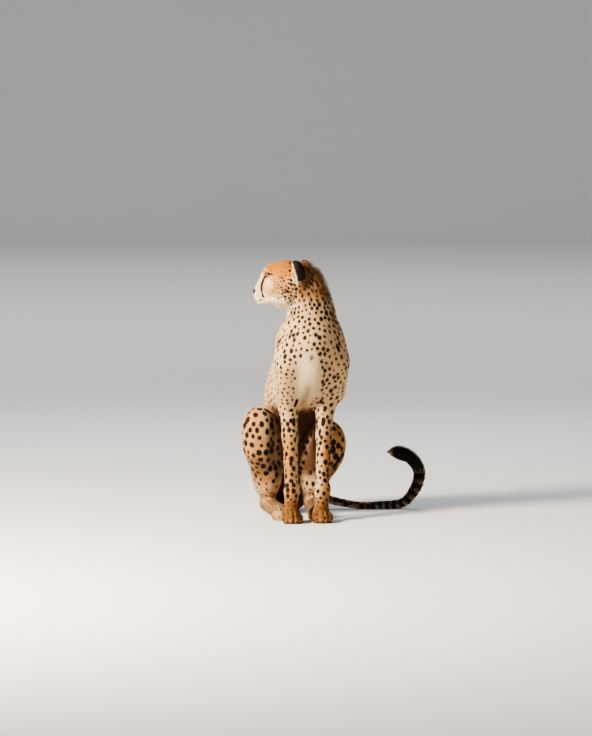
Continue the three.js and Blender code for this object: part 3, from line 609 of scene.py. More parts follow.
def sample_grid(field, place, shape):
    """The field's value at each grid point near the surface, and only its sign elsewhere."""
    blocks = np.argwhere(np.ones([n // BLOCK for n in shape], bool))
    middle = place(blocks * BLOCK + (BLOCK - 1) / 2)
    half = np.linalg.norm(place(blocks * BLOCK + BLOCK) - place(blocks * BLOCK), axis=1) / 2
    d = in_batches(field, middle)
    value = np.where(d < 0, -1.0, 1.0).reshape([n // BLOCK for n in shape])
    for axis in range(3):
        value = np.repeat(value, BLOCK, axis)
    near = blocks[np.abs(d) < 1.7 * half + 2] * BLOCK
    inner = np.argwhere(np.ones((BLOCK,) * 3, bool))
    points = (near[:, None] + inner[None]).reshape(-1, 3)
    value[tuple(points.T)] = in_batches(field, place(points.astype(float)))
    for axis in range(3):
        np.moveaxis(value, axis, 0)[[0, -1]] = 1.0
    return value


def surface_net(field, place, shape):
    value = sample_grid(field, place, shape)
    cells, spots, quads = [], [], []
    strides = np.array([shape[1] * shape[2], shape[2], 1])
    for axis in range(3):
        ahead = np.roll(value, -1, axis)
        crossed = np.argwhere((value < 0) != (ahead < 0))
        here, there = value[tuple(crossed.T)], ahead[tuple(crossed.T)]
        spot = crossed.astype(float)
        spot[:, axis] += here / (here - there)
        u, v = strides[(axis + 1) % 3], strides[(axis + 2) % 3]
        ring = (crossed @ strides)[:, None] - np.array([0, u, u + v, v])
        quads.append(np.where((here < 0)[:, None], ring, ring[:, ::-1]))
        cells.append(ring.ravel())
        spots.append(np.repeat(place(spot), 4, 0))
    names, index = np.unique(np.concatenate(cells), return_inverse=True)
    spots = np.concatenate(spots)
    count = np.bincount(index)
    points = np.stack([np.bincount(index, spots[:, i]) / count for i in range(3)], 1)
    return points, np.searchsorted(names, np.concatenate(quads))


def slope(field, p, step=0.6):
    """The field's value and its gradient, from four points round each one."""
    corners = np.array([[1, 1, 1], [1, -1, -1], [-1, 1, -1], [-1, -1, 1]]) * step
    values = [in_batches(field, p + c) for c in corners]
    gradient = sum(v[:, None] * c for v, c in zip(values, corners)) / (4 * step * step)
    return sum(values) / 4, gradient


def settle(field, p, reach):
    """Moves points onto the surface, no further than `reach`."""
    d, gradient = slope(field, p)
    move = -gradient * (d / np.maximum((gradient ** 2).sum(1), 0.25))[:, None]
    size = np.linalg.norm(move, axis=1, keepdims=True)
    return p + move * np.minimum(1, reach / np.maximum(size, 1e-9))


print("a block holds", BLOCK ** 3, "cells")

# %% The skin's grid, narrowing towards the head
GRID = (132, 116, 232)
BODY_CELL, HEAD_CELL, PAW_CELL = 6.7, 2.5, 3.6
PAW_TOP, NECK_FROM, HEAD_FROM = 90.0, 660.0, 745.0
SHIFT_FROM = 380.0  # above here the grid slides sideways towards the head
BODY_MIDDLE, HEAD_MIDDLE = np.array([133.0, 195.0]), np.array([-72.0, 24.0])


def cell_size(z):
    return BODY_CELL + (HEAD_CELL - BODY_CELL) * ramp(NECK_FROM, HEAD_FROM, z)


def grid_heights():
    heights = [-6.0]
    while len(heights) < GRID[2]:
        z = heights[-1]
        heights.append(z + (PAW_CELL if z < PAW_TOP else cell_size(z)))
    return np.array(heights)


GRID_HEIGHTS = grid_heights()


def in_body(grid):
    """Grid numbers to body millimetres."""
    z = np.interp(grid[:, 2], np.arange(GRID[2]), GRID_HEIGHTS)
    turn = ramp(SHIFT_FROM, HEAD_FROM, z)[:, None]
    middle = BODY_MIDDLE + (HEAD_MIDDLE - BODY_MIDDLE) * turn
    level = middle + (grid[:, :2] - np.array(GRID[:2]) / 2) * cell_size(z)[:, None]
    return np.column_stack([level, z])


print("grid top", round(GRID_HEIGHTS[-1]), "mm")
skin_points, skin_quads = surface_net(skin_distance, in_body, GRID)
skin_points = settle(skin_distance, skin_points, 2.0)
print("skin net:", len(skin_points), "points,", len(skin_quads), "quads")

# %% [markdown]
# ## Finer skin where it folds
# Lids, nose and toes need a finer net than the back of the head. Those faces are divided once
# more and pulled onto the field again, which costs far less than a finer net everywhere.

# %% The skin's mesh
FINE_FACE = 57.0  # radius of the finely divided region round the face, in millimetres


def to_frame(p):
    return (p - ORIGIN) * MM


def to_body(p):
    return p / MM + ORIGIN


def mesh_from(name, points, faces):
    mesh = bpy.data.meshes.new(name)
    mesh.from_pydata(points.tolist(), [], faces.tolist() if hasattr(faces, "tolist") else faces)
    mesh.update()
    return mesh


def smooth(mesh):
    mesh.polygons.foreach_set("use_smooth", np.ones(len(mesh.polygons), bool))


def new_object(name, mesh):
    piece = bpy.data.objects.new(name, mesh)
    bpy.context.scene.collection.objects.link(piece)
    return piece


def read(items, field, width=3, kind=float):
    """One field of every item of a mesh, a row for each."""
    flat = np.empty(len(items) * width, kind)
    items.foreach_get(field, flat)
    return flat.reshape(-1, width)


def body_corners(mesh):
    return to_body(read(mesh.vertices, "co"))


def divide(mesh, chosen):
    """Divides the chosen faces once."""
    bm = bmesh.new()
    bm.from_mesh(mesh)
    bm.faces.ensure_lookup_table()
    edges = {e for f, wanted in zip(bm.faces, chosen) if wanted for e in f.edges}
    bmesh.ops.subdivide_edges(bm, edges=list(edges), cuts=1, use_grid_fill=True)
    bm.to_mesh(mesh)
    bm.free()


skin_mesh = mesh_from("skin", to_frame(skin_points), skin_quads)
centres = to_body(read(skin_mesh.polygons, "center"))
round_face = np.linalg.norm(centres - head_point(40, 0, 22), axis=1) < FINE_FACE
round_toes = (centres[:, 2] < 60) & (centres[:, 1] < 120)
divide(skin_mesh, round_face | round_toes)
points = settle(skin_distance, body_corners(skin_mesh), 1.2)
skin_mesh.vertices.foreach_set("co", to_frame(points).ravel())
skin_mesh.update()
skin = new_object("skin", skin_mesh)
smooth(skin_mesh)
skin_triangles = sum(len(f.vertices) - 2 for f in skin_mesh.polygons)
print("skin:", len(skin_mesh.vertices), "corners,", skin_triangles, "triangles")

# %% [markdown]
# ## Which way the hair lies
# Every form carries the way its hair grows: back from the nose, down the neck and trunk, down
# the legs, forward over the feet. Near forms share a point between them, the sum is laid flat
# on the skin, and a few rounds of averaging with the neighbours take out the last whorls.

# %% The lie of the coat
LIE_BORDER = 9.0
LIE_ROUNDS = 12


def raw_lie(p):
    total = np.zeros_like(p)
    for form in ALL_FORMS:
        near = np.all((p > form.low - 40) & (p < form.high + 40), 1)
        if near.any():
            weight = np.exp(-np.maximum(form.distance(p[near]), -12) / LIE_BORDER)
            total[near] += weight[:, None] * form.lie
    return total


def flat_on(way, normal):
    return unit(way - normal * (way * normal).sum(1, keepdims=True) + 1e-9)


skin_body = body_corners(skin_mesh)
skin_normal = read(skin_mesh.vertex_normals, "vector")
ends = read(skin_mesh.edges, "vertices", 2, int)
skin_lie = flat_on(raw_lie(skin_body), skin_normal)
for _ in range(LIE_ROUNDS):
    total = skin_lie * 2
    for i in range(3):
        total[:, i] += np.bincount(ends[:, 0], skin_lie[ends[:, 1], i], len(total))
        total[:, i] += np.bincount(ends[:, 1], skin_lie[ends[:, 0], i], len(total))
    skin_lie = flat_on(total, skin_normal)
print("lie found for", len(skin_lie), "corners")

# %% [markdown]
# ## Markings
# A cheetah is cream to gold above and white below, with solid black spots, a black line from each
# eye to the mouth, black backs to the ears, and a tail whose spots run together into rings. Each
# corner of the skin gets the share of each colour, and how far it is from the edge of the
# nearest black mark, so that edges stay crisp even where corners are far apart.

# %% Measures of every corner of the skin
CHEST_MIDDLE = -12
parts = body_parts(skin_body)
share = part_shares(parts)
fore = share["fore_left"] + share["fore_right"]
hind = share["hind_left"] + share["hind_right"]
back, left, up = head_place(skin_body)
x, y, z = skin_body.T
nx, ny, nz = skin_normal.T
on_left = share["fore_left"] + share["hind_left"] > share["fore_right"] + share["hind_right"]
inward = np.where(on_left, -nx, nx)
forward = skin_normal @ FACING
mane = mane_share(skin_body) * (share["neck"] + share["head"] + share["trunk"])
feet = (fore + hind) * ramp(110, 60, z)
print("corners on the head:", int((share["head"] > 0.5).sum()), "in the mane:", int((mane > 0.5).sum()))

# %% White, gold and smoky hair, and painted shade
def chest_streak():
    """The white streak down the chest: how much of it lies at each corner."""
    wave = np.sin(x / 11 + 2 * np.sin(z / 31)) * np.sin(z / 15)
    half = 40 + 34 * ramp(610, 540, z) - 30 * ramp(470, 400, z) + 13 * wave
    across = ramp(half, 0.15 * half, np.abs(x - CHEST_MIDDLE))
    return across * ramp(0.0, 0.5, -ny) * ramp(635, 585, z)


def pale_share():
    """White of the muzzle, brows, throat, chest, belly, heels and the insides of the legs."""
    front = share["trunk"] + share["neck"] + fore * ramp(400, 470, z)
    chest = (0.22 * ramp(0.1, 0.8, -ny) + 0.42 * chest_streak()) * front * ramp(370, 450, z)
    belly = 0.2 * share["trunk"] * ramp(0.2, 0.8, -0.8 * ny - 0.6 * nz) * ramp(105, 60, np.abs(x))
    legs = 0.22 * fore * ramp(0.1, 0.9, inward) * ramp(120, 260, z)
    thighs = 0.1 * hind * ramp(0.3, 0.95, inward) * ramp(60, 150, z)
    heels = 0.32 * hind * ramp(160, 90, z)
    turned_down = ramp(0.0, 0.6, 0.4 * forward - nz)
    throat = 0.85 * (share["head"] + share["neck"]) * ramp(-2, -34, up) * turned_down
    muzzle = share["head"] * ramp(66, 40, back) * ramp(14, -8, up)
    bridge = 0.5 * share["head"] * ramp(46, 18, back)
    jaw = 0.9 * share["head"] * ramp(2, -26, up)
    under_eye = 0.5 * share["head"] * ramp(30, 4, np.hypot(back - 62, (up - 40) * 1.3))
    to_brow = np.hypot(back - 54, up - 78)
    over_eye = 0.3 * share["head"] * ramp(15, 3, to_brow) * ramp(10, 22, np.abs(left))
    under_tail = 0.6 * share["tail"] * ramp(0.2, 0.8, -nz)
    body = [chest, belly, legs, thighs, heels, under_tail]
    face = [throat, muzzle, bridge, jaw, under_eye, over_eye]
    return np.max(body + face, 0)


def gold_share():
    """Gold of the crown, cheeks, neck, back, thighs, forelegs, feet and tail."""
    crown = share["head"] * ramp(26, 76, up) * ramp(18, 68, back)
    cheek = 0.6 * share["head"] * ramp(40, 90, back)
    nape = 0.75 * mane_share(skin_body)
    spine = 0.75 * (share["trunk"] + share["neck"]) * ramp(-0.1, 0.8, ny)
    thighs = 0.58 * hind * ramp(0.6, -0.4, inward)
    forelegs = 0.62 * fore * ramp(0.9, -0.1, inward) * ramp(440, 260, z)
    tail = 0.3 * share["tail"] * ramp(0.0, 0.6, nz)
    neck = 0.35 * share["neck"]
    return np.max([crown, cheek, neck, nape, spine, thighs, forelegs, 0.75 * feet, tail], 0)


def smoky_and_shade_share():
    """Grey-brown of the nape, behind the ears and on the tail's top, a smudge on the breast, and the
    breast's seam, which is partly painted shade. Painted shade between the forelegs, inside the
    thighs and in the toes' clefts; darker low on the thighs, on the lower forelegs and on the feet.
    """
    to_ear = np.hypot(back - 202, (up - 30) * 0.7)
    behind_ear = share["head"] * ramp(34, 8, to_ear) * ramp(20, 36, np.abs(left))
    # the breast's seam: browner of its own, and painted shade where it runs down between the forelegs
    seam_half = 24 + 22 * ramp(420, 360, z)
    seam = (
        ramp(seam_half, 4, np.abs(x - CHEST_MIDDLE)) * ramp(570, 430, z)
        * ramp(120, 240, z) * ramp(0.2, 0.7, -ny)
    )
    smudge = ramp(15, 3, np.hypot(x - CHEST_MIDDLE - 3, 0.8 * (z - 588))) * ramp(0.2, 0.7, -ny)
    tail = 0.7 * share["tail"] * ramp(-0.9, 0.2, nz)
    trunk = share["trunk"] + share["neck"]
    # painted shade on the trunk between the forelegs
    between = 1.25 * share["trunk"] * ramp(430, 370, z) * ramp(-0.2, 0.4, -ny)
    # painted shade on the insides of the thighs and in the groin between them
    inner_thigh_shade = 0.65 * hind * ramp(0.0, 0.6, inward) * ramp(90, 170, z)
    inner_thigh_shade += 0.5 * hind * ramp(80, 55, np.abs(x)) * ramp(120, 200, z)
    low_thighs = 0.5 * hind * ramp(280, 190, z) * ramp(80, 150, z)
    low_legs = 0.3 * fore * ramp(420, 300, z) + 0.35 * feet
    # painted shade in the clefts between the toes
    clefts = 0.7 * ramp(1.5, -0.5, cleft_distance(skin_body))
    shares = [0.58 * mane, 0.85 * behind_ear, 0.8 * seam * trunk, 0.8 * smudge * trunk, tail]
    return np.max(shares + [between, inner_thigh_shade, low_thighs, low_legs, clefts], 0)


pale = pale_share()
gold = gold_share() * (1 - 0.8 * pale)
smoky_and_shade = smoky_and_shade_share()
print("pale", round(pale.mean(), 2), "gold", round(gold.mean(), 2), "smoky_and_shade", round(smoky_and_shade.mean(), 2))

# %% [markdown]
# ## Spots
# Spots keep their distance from each other but sit nowhere in rows, so they are thrown at the
# skin one by one and kept only where none is near. Their size and spacing change over the body:
# dots on the head and feet, finger prints on the chest and legs, the largest on the thighs.

# %% Spot sizes and spacings over the body
def tree_of(points):
    """A search tree, which finds the nearest of many points quickly."""
    tree = KDTree(len(points))
    for i, point in enumerate(points):
        tree.insert(point, i)
    tree.balance()
    return tree


tail_course = curve(TAIL_LINE, 10 * TAIL_LINKS)[:, :3]
tail_steps = np.r_[0, np.cumsum(np.linalg.norm(np.diff(tail_course, axis=0), axis=1))]
TAIL_LENGTH = tail_steps[-1]
RINGED = 400  # how much of the tail has rings, from its tip
on_tail = share["tail"] > 0.5
tail_run = np.zeros(len(skin_body))
tail_tree = tree_of(tail_course)
tail_run[on_tail] = tail_steps[[tail_tree.find(q)[1] for q in skin_body[on_tail]]]
from_tip = TAIL_LENGTH - tail_run


def by_part(**sizes):
    return sum(share[n] * sizes[n.split("_")[0]] for n in PARTS)


def towards(values, goal, amount):
    return values + (goal - values) * amount


flank = (share["trunk"] + fore) * ramp(-20, -70, x) * ramp(350, 400, z) * ramp(600, 520, z)
cheek = ramp(84, 190, back)
spot_radius = by_part(trunk=6.3, neck=6.6, head=2.4, tail=8.5, fore=6.2, hind=9.6)
spot_radius += (share["trunk"] + share["neck"]) * 2.6 * ramp(0.1, 0.8, ny)
spot_radius = towards(spot_radius, 2.1 + 5.0 * cheek, share["head"])
spot_radius += 1.3 * share["trunk"] * ramp(30, 80, x) * ramp(0.5, -0.2, ny)
spot_radius += 1.3 * fore * ramp(430, 330, z) * ramp(0.5, -0.2, inward)
spot_radius = towards(spot_radius, 4.7, flank)
spot_radius *= 1 - 0.3 * hind * ramp(200, 110, z)
spot_radius *= 1 - 0.5 * share["head"] * ramp(50, 70, up) * ramp(150, 120, back)
spot_radius = towards(spot_radius, 4.8, mane)
spot_radius = towards(spot_radius, 3.0, feet)
spot_spacing = by_part(trunk=18.5, neck=16.5, head=10, tail=18, fore=17, hind=22.5)
spot_spacing += (share["trunk"] + share["neck"]) * 6 * ramp(0.1, 0.8, ny)
spot_spacing = towards(spot_spacing, 8.8 + 4.2 * cheek, share["head"])
spot_spacing -= 1.5 * share["neck"] * ramp(690, 740, z)
spot_spacing = towards(spot_spacing, 15.5, flank)
spot_spacing = towards(spot_spacing, 13.5, mane)
spot_spacing = towards(spot_spacing, 13, feet)
print("tail", round(TAIL_LENGTH), "mm long")
print("spacings", round(spot_spacing.min(), 1), "to", round(spot_spacing.max(), 1), "mm")

# %% Throw the spots
FACE_FREE = 84  # no thrown spots further forward than this on the face


def free_of_spots():
    face = (share["head"] > 0.5) & (back < FACE_FREE) & (up < 74)
    chin = (share["head"] > 0.4) & (up < -18) & (back < 120)
    streak = (chest_streak() > 0.45) & (hind < 0.5)
    inner_thigh = (hind > 0.5) & (inward > 0.8) & (z > 120)
    return (pale > 0.8) | streak | inner_thigh | face | chin | (z < 8) | (from_tip < RINGED)


def throw_spots():
    order = random.permutation(np.flatnonzero(~free_of_spots()))
    p, gap = skin_body[order], spot_spacing[order]
    free, kept = np.ones(len(order), bool), []
    for i, corner in enumerate(order):
        if free[i]:
            kept.append(corner)
            free &= ((p - p[i]) ** 2).sum(1) > gap[i] ** 2
    return np.array(kept)


thrown = throw_spots()
print("spots thrown:", len(thrown))

# %% [markdown]
# ## Marks with a place of their own
# The face isn't left to chance. The tear lines, the lips, the rims of the eyes, the dots of the
# cheeks, the bars inside the forelegs, the black ear backs and the rings of the tail are each
# laid where the species has them.

# %% Places of the marks
TEAR_TOP = [(48, 56), (43, 44), (37, 28), (36, 12)]  # back, up
TEAR_END = [(36, 12), (37, 2), (39, -7), (43, -14)]
EYE_CORNER = [(73, 64), (78, 66)]
TEAR_HALF = [5.0, 3.4]
CORNER_HALF = 1.3
SPOT_SIZES, SPOT_LENGTHS = (0.62, 1.2), (1, 1.4)  # how much spots differ: size, length for width
MOUTH = [(5, 1, -9), (9, 1, -19), (17, 11, -25), (32, 20, -24), (50, 26, -22), (66, 31, -17)]
LIP_HALF, LIP_STEPS = 0.9, 20  # the line fades out before the corner of the mouth
EYE_RIM = 3.4
CHEEK_DOTS = [  # back, up, radius
    (42, -14, 1.6), (48, -19, 1.7), (76, 47, 1.8), (87, 40, 2.0),
    (76, 10, 1.3), (66, -2, 1.4), (84, 2, 1.6),
]
WHISKER_DOTS = [(22, -4), (30, -3), (38, -2), (24, -10), (32, -10), (40, -9), (28, -16), (36, -16)]
WHISKER_DOT = 0.8
LEG_BARS = [  # inward from the leg's middle, up, radius, stretch
    (17, 422, 6.8, 2.0), (7, 352, 8.6, 1.4), (27, 346, 8.2, 1.9),
    (3, 392, 5.6, 1.3), (22, 382, 6.2, 1.8), (20, 312, 6.4, 2.0),
]
TAIL_RINGS = [  # from the tip, half width
    (74, 66), (163, 16), (199, 13), (230, 11), (259, 10), (286, 9), (312, 8), (337, 8), (362, 7), (387, 7),
]
TAIL_WHITE = 12
EAR_RIM_FROM = 9.0  # how far in front of its middle an ear's black back gives way to its pale rim


def nearest_corner(miss, allowed):
    return np.where(allowed, miss, 1e9).argmin()


def on_side(back_at, up_at, s):
    """The corner of the skin at a place on the side of the head."""
    side_on = (skin_normal @ HEAD_LEFT * s > 0.15) & (left * s > 3)
    return nearest_corner((back - back_at) ** 2 + (up - up_at) ** 2, side_on)


def on_foreleg(inside, up_at, side):
    at = side.forearm - side.sign * inside
    front = (ny < -0.1) & (y < 110)
    return nearest_corner((x - at) ** 2 + (z - up_at) ** 2, front)


def line_on_side(points, s):
    fine = curve([(b, u, 0) for b, u in points], 5 * len(points))
    line = skin_body[[on_side(b, u, s) for b, u, _ in fine]]
    for _ in range(3):
        line[1:-1] = (line[:-2] + line[1:-1] * 2 + line[2:]) / 4
    return line


def face_marks():
    marks = []
    for s in (1, -1):
        for points, half in zip((TEAR_TOP, TEAR_END), TEAR_HALF):
            marks.append(rod_distance(skin_body, line_on_side(points, s), half))
        lips = curve([head_point(b, l * s, u) for b, l, u in MOUTH], 24)
        for _ in range(2):
            lips = settle(skin_distance, lips, 6)
        marks.append(rod_distance(skin_body, line_on_side(EYE_CORNER, s), CORNER_HALF))
        marks.append(rod_distance(skin_body, lips[:LIP_STEPS], LIP_HALF))
        away, _, _, _ = eye_place(skin_body, s)
        marks.append(np.where(away < 24, eye_opening(skin_body, s) - EYE_RIM, FAR))
    nose = ball(head_point(*NOSE_PLACE), NOSE_PAD, HEAD_AXES)
    marks.append(nose.distance(skin_body) - 1.6)
    return np.min(marks, 0)


print("marks placed by hand:", 2 * len(CHEEK_DOTS + WHISKER_DOTS + LEG_BARS) + len(TAIL_RINGS))

# %% The ears' own places
def ear_places(p):
    """For each ear: depth into the hollow, height, depth into the whole ear, and how far forward."""
    for s, (cup, hollow) in EARS.items():
        face, _, rise = ear_axes(s)
        q = p - head_point(EAR_PLACE[0], EAR_PLACE[1] * s, EAR_PLACE[2])
        yield hollow.distance(p), q @ rise, cup.distance(p) + EAR_WALL, q @ face


def ear_marks():
    marks = []
    for hollow, height, cup, front in ear_places(skin_body):
        edge = np.max([4.0 - hollow, -22 - height, front - EAR_RIM_FROM], 0)
        marks.append(np.where(np.abs(cup) < 3, edge, FAR))
    return np.min(marks, 0)


in_ear = np.zeros(len(skin_body), bool)
on_ear = np.zeros(len(skin_body), bool)
ear_rim = np.zeros(len(skin_body), bool)
for hollow, height, cup, front in ear_places(skin_body):
    inside = (np.abs(hollow - EAR_WALL) < 2.5) & (cup < -1.0) & (np.abs(height) < EAR_SIZE[2])
    in_ear |= inside
    ear_rim |= (np.abs(cup) < 3) & (front > EAR_RIM_FROM) & (np.abs(height) < EAR_SIZE[2])
    on_ear |= inside | ((np.abs(cup) < 3) & (height > -30))
print("corners on the ears:", int(on_ear.sum()), "inside them:", int(in_ear.sum()))

# %% All the black
def all_spots():
    """Thrown spots and those placed by hand: corner, radius, and how long for its width."""
    count = len(thrown)
    sizes = spot_radius[thrown] * random.uniform(*SPOT_SIZES, count)
    lengths = random.uniform(*SPOT_LENGTHS, count)
    spots = list(zip(thrown, sizes, lengths))
    for side in SIDES.values():
        s = side.sign
        spots += [(on_side(b, u, s), r, 1.2) for b, u, r in CHEEK_DOTS]
        spots += [(on_side(b, u, s), WHISKER_DOT, 1.0) for b, u in WHISKER_DOTS]
        spots += [(on_foreleg(i, u, side), r, long) for i, u, r, long in LEG_BARS]
    corners, sizes, lengths = (np.array(v) for v in zip(*spots))
    return skin_body[corners], skin_lie[corners], sizes, lengths


spot_place, spot_lie, spot_size, spot_stretch = all_spots()
spot_tree = tree_of(spot_place)


def spot_edge(p):
    """How far points are from the edge of the nearest spot, negative inside it."""
    near = np.array([[i for _, i, _ in spot_tree.find_n(q, 3)] for q in p])
    offset = p[:, None] - spot_place[near]
    along = (offset * spot_lie[near]).sum(2)
    across = np.maximum((offset ** 2).sum(2) - along ** 2, 0)
    return (np.sqrt((along / spot_stretch[near]) ** 2 + across) - spot_size[near]).min(1)


MARK_REACH = 20  # further from a mark's edge than this no colour changes, in millimetres
rings = np.min([np.abs(from_tip - middle) - half for middle, half in TAIL_RINGS], 0)
rings = np.where(on_tail, rings, FAR)
white_end = on_tail & (from_tip < TAIL_WHITE)
placed_marks = np.min([face_marks(), ear_marks(), rings], 0)
placed_marks = np.where(white_end, MARK_REACH, placed_marks)
spotless = in_ear | ear_rim | (on_tail & (from_tip < TAIL_WHITE + 2))
dark = np.minimum(placed_marks, np.where(spotless, FAR, spot_edge(skin_body)))
dark = np.clip(dark, -MARK_REACH, MARK_REACH)
placed_marks = np.clip(placed_marks, -MARK_REACH, MARK_REACH)
pale = np.maximum(pale, white_end * 0.55)
pale = np.maximum(pale, in_ear * 0.8 + (ear_rim & ~in_ear) * 0.55)
print("corners in black marks:", int((dark < 0).sum()), "of", len(dark))

# %% [markdown]
# ## Colours and their maker
# Hair colour is pigment: golden phaeomelanin in the ground, black eumelanin in the spots, and
# next to none in the white. One function turns a colour written as sRGB hex into the linear
# numbers a shader wants, and one adds a node with its settings and links.

# %% Colour and node helpers
def linear(code):
    """An sRGB hex colour as linear red, green, blue and alpha."""
    parts = [int(code[i:i + 2], 16) / 255 for i in (1, 3, 5)]
    return [c / 12.92 if c <= 0.04045 else ((c + 0.055) / 1.055) ** 2.4 for c in parts] + [1]


def node(tree, kind, inputs=None, out=0, **settings):
    """Adds a node with its settings and links, and gives one of its outputs."""
    made = tree.nodes.new(kind)
    for name, value in settings.items():
        setattr(made, name, value)
    for socket, value in (inputs or {}).items():
        if isinstance(value, bpy.types.NodeSocket):
            tree.links.new(value, made.inputs[socket])
        else:
            made.inputs[socket].default_value = value
    return made.outputs[out]


def material(name):
    made = bpy.data.materials.new(name)
    made.use_nodes = True
    return made, made.node_tree, made.node_tree.nodes["Principled BSDF"]


def mix(tree, amount, first, second, how="MIX"):
    ends = {0: amount, 6: first, 7: second}
    return node(tree, "ShaderNodeMix", ends, out=2, data_type="RGBA", blend_type=how)


def two_tone(tree, shader, amount, first, second):
    """Colours a shader between two colours written as hex."""
    colour = mix(tree, amount, linear(first), linear(second))
    tree.links.new(colour, shader.inputs["Base Color"])


def scaled_sum(tree, value, by, plus):
    return node(tree, "ShaderNodeMath", {0: value, 1: by, 2: plus}, operation="MULTIPLY_ADD")


def speckle(tree, place, size, detail=2.0):
    """Noise with lumps of about `size` millimetres."""
    inputs = {"Vector": place, "Scale": 1 / (size * MM), "Detail": detail}
    return node(tree, "ShaderNodeTexNoise", inputs)


def fade(tree, value, start, end):
    """0 up to `start` and 1 from `end` on, with a smooth step between."""
    inputs = {"Value": value, "From Min": start, "From Max": end}
    return node(tree, "ShaderNodeMapRange", inputs, interpolation_type="SMOOTHSTEP")


def relief(tree, shader, height, strength, deep):
    """Bumps in a shader's surface, `deep` millimetres from low to high."""
    inputs = {"Height": height, "Strength": strength, "Distance": deep * MM}
    tree.links.new(node(tree, "ShaderNodeBump", inputs), shader.inputs["Normal"])


def give(mesh, name, values, kind="FLOAT"):
    """Stores a value or a vector on every corner of a mesh, for its material to read."""
    attribute = mesh.attributes.new(name, kind, "POINT")
    field = "vector" if kind == "FLOAT_VECTOR" else "value"
    attribute.data.foreach_set(field, np.ascontiguousarray(values, np.float32).ravel())


HAIR_CREAM, HAIR_GOLD, HAIR_WHITE = linear("#e6bf8d"), linear("#c98437"), linear("#f5dfbf")
# the smoky brown is the coat's own on the nape and tail, and painted shade in folds and hollows
HAIR_SMOKE_AND_SHADE, HAIR_BLACK, HAIR_UMBER = linear("#56351d"), linear("#110c0a"), linear("#2c1b14")
print("hair colours:", 6)

# %% [markdown]
# ## Short fur
# Fur scatters light in all directions, with only a faint silkiness along the tips, so it is
# matt with a little sheen. The colour starts from cream, takes on gold, white and smoke by the
# shares on the corners, each broken up by noise as hair breaks it, and ends with the black marks,
# whose edges wander by the width of a few hairs. The smoke is partly the coat's own and partly
# painted shade in folds and hollows. Each tuft is painted darker at its root and lighter at its tip,
# as painted shade and painted light. Skin and tufts share one recipe, so that a gap between tufts
# shows the same colour, and the skin gets the painted shade of a tuft's root. A painted image
# would blur the edges and need a flat map.

# %% The coat's material
SPOT_RAGGED = 1.3  # how far hairs carry a spot's edge in or out, in millimetres
SPOT_WOBBLE = 2.4  # how far its outline wanders from a round
HAIR_NOISE, BLOTCH_NOISE, CLOUD_NOISE = 5, 16, 45  # sizes of the noise, in millimetres
SINGLE_HAIRS = 1.6  # size of the bump's noise, in millimetres
DARKEST, LIGHTEST = 0.5, 1.16  # how a root in shadow and a tip in light change the colour
COAT_MARKS = ("pale", "gold", "smoky_and_shade", "dark", "shade", "tip")


def coat_material(name, bump):
    made, tree, shader = material(name)
    root = node(tree, "ShaderNodeAttribute", out="Vector", attribute_name="root")
    pale_at, gold_at, smoky_and_shade_at, dark_at, shade_at, tip_at = [
        node(tree, "ShaderNodeAttribute", out="Fac", attribute_name=mark) for mark in COAT_MARKS
    ]
    broken, blotch, cloud = [
        speckle(tree, root, size) for size in (HAIR_NOISE, BLOTCH_NOISE, CLOUD_NOISE)
    ]
    layers = [  # noise, how much of it, share, where the colour starts and is full, the colour
        (cloud, 0.7, gold_at, 0.40, 1.30, HAIR_GOLD),
        (blotch, 0.6, pale_at, 0.35, 1.40, HAIR_WHITE),
        (blotch, 0.6, smoky_and_shade_at, 0.40, 1.35, HAIR_SMOKE_AND_SHADE),
    ]
    ground = HAIR_CREAM
    for noise, much, share_at, start, full, colour in layers:
        amount = fade(tree, scaled_sum(tree, noise, much, share_at), start, full)
        ground = mix(tree, amount, ground, colour)
    # painted shade at the roots and painted light at the tips, and a random tone for each tuft
    tone = scaled_sum(tree, tip_at, 0.9, shade_at)
    tones = {"Value": tone, "From Min": 0.0, "From Max": 1.9, "To Min": DARKEST, "To Max": LIGHTEST}
    light = node(tree, "ShaderNodeMapRange", tones)
    ground = mix(tree, 1.0, ground, light, "MULTIPLY")
    at_edge = SPOT_RAGGED + SPOT_WOBBLE
    wobble = scaled_sum(tree, blotch, 2 * SPOT_WOBBLE, dark_at)
    edge = scaled_sum(tree, broken, 2 * SPOT_RAGGED, wobble)
    inside = fade(tree, edge, at_edge + 0.9, at_edge - 0.6)
    black = mix(tree, blotch, HAIR_BLACK, HAIR_UMBER)
    tree.links.new(mix(tree, inside, ground, black), shader.inputs["Base Color"])
    rough = node(tree, "ShaderNodeMapRange", {"Value": broken, "To Min": 0.6, "To Max": 0.85})
    tree.links.new(rough, shader.inputs["Roughness"])
    shader.inputs["Specular IOR Level"].default_value = 0.2
    shader.inputs["Sheen Weight"].default_value = 0.05
    shader.inputs["Sheen Roughness"].default_value = 0.5
    if bump:
        relief(tree, shader, speckle(tree, root, SINGLE_HAIRS, 3.0), 0.5, bump)
    return made


SKIN_HAIR = coat_material("short_fur_on_skin", 1.2)
TUFT_HAIR = coat_material("fur_tufts", 0)
print("coat materials:", SKIN_HAIR.name, TUFT_HAIR.name)

# %% The skin's marks
# painted shade: the skin between the tufts is darkened to the tone of a tuft's shaded root
SKIN_SHADE, SKIN_TIP = 0.45, 0.3  # its tone is that of a tuft not far above its root
MARKS = {"pale": pale, "gold": gold, "smoky_and_shade": smoky_and_shade}
skin_mesh.materials.append(SKIN_HAIR)
for name, values in MARKS.items():
    give(skin_mesh, name, values)
give(skin_mesh, "dark", dark)
give(skin_mesh, "root", to_frame(skin_body), "FLOAT_VECTOR")
give(skin_mesh, "shade", np.full(len(skin_body), SKIN_SHADE))
give(skin_mesh, "tip", np.full(len(skin_body), SKIN_TIP))
print("marks on", len(skin_body), "corners")

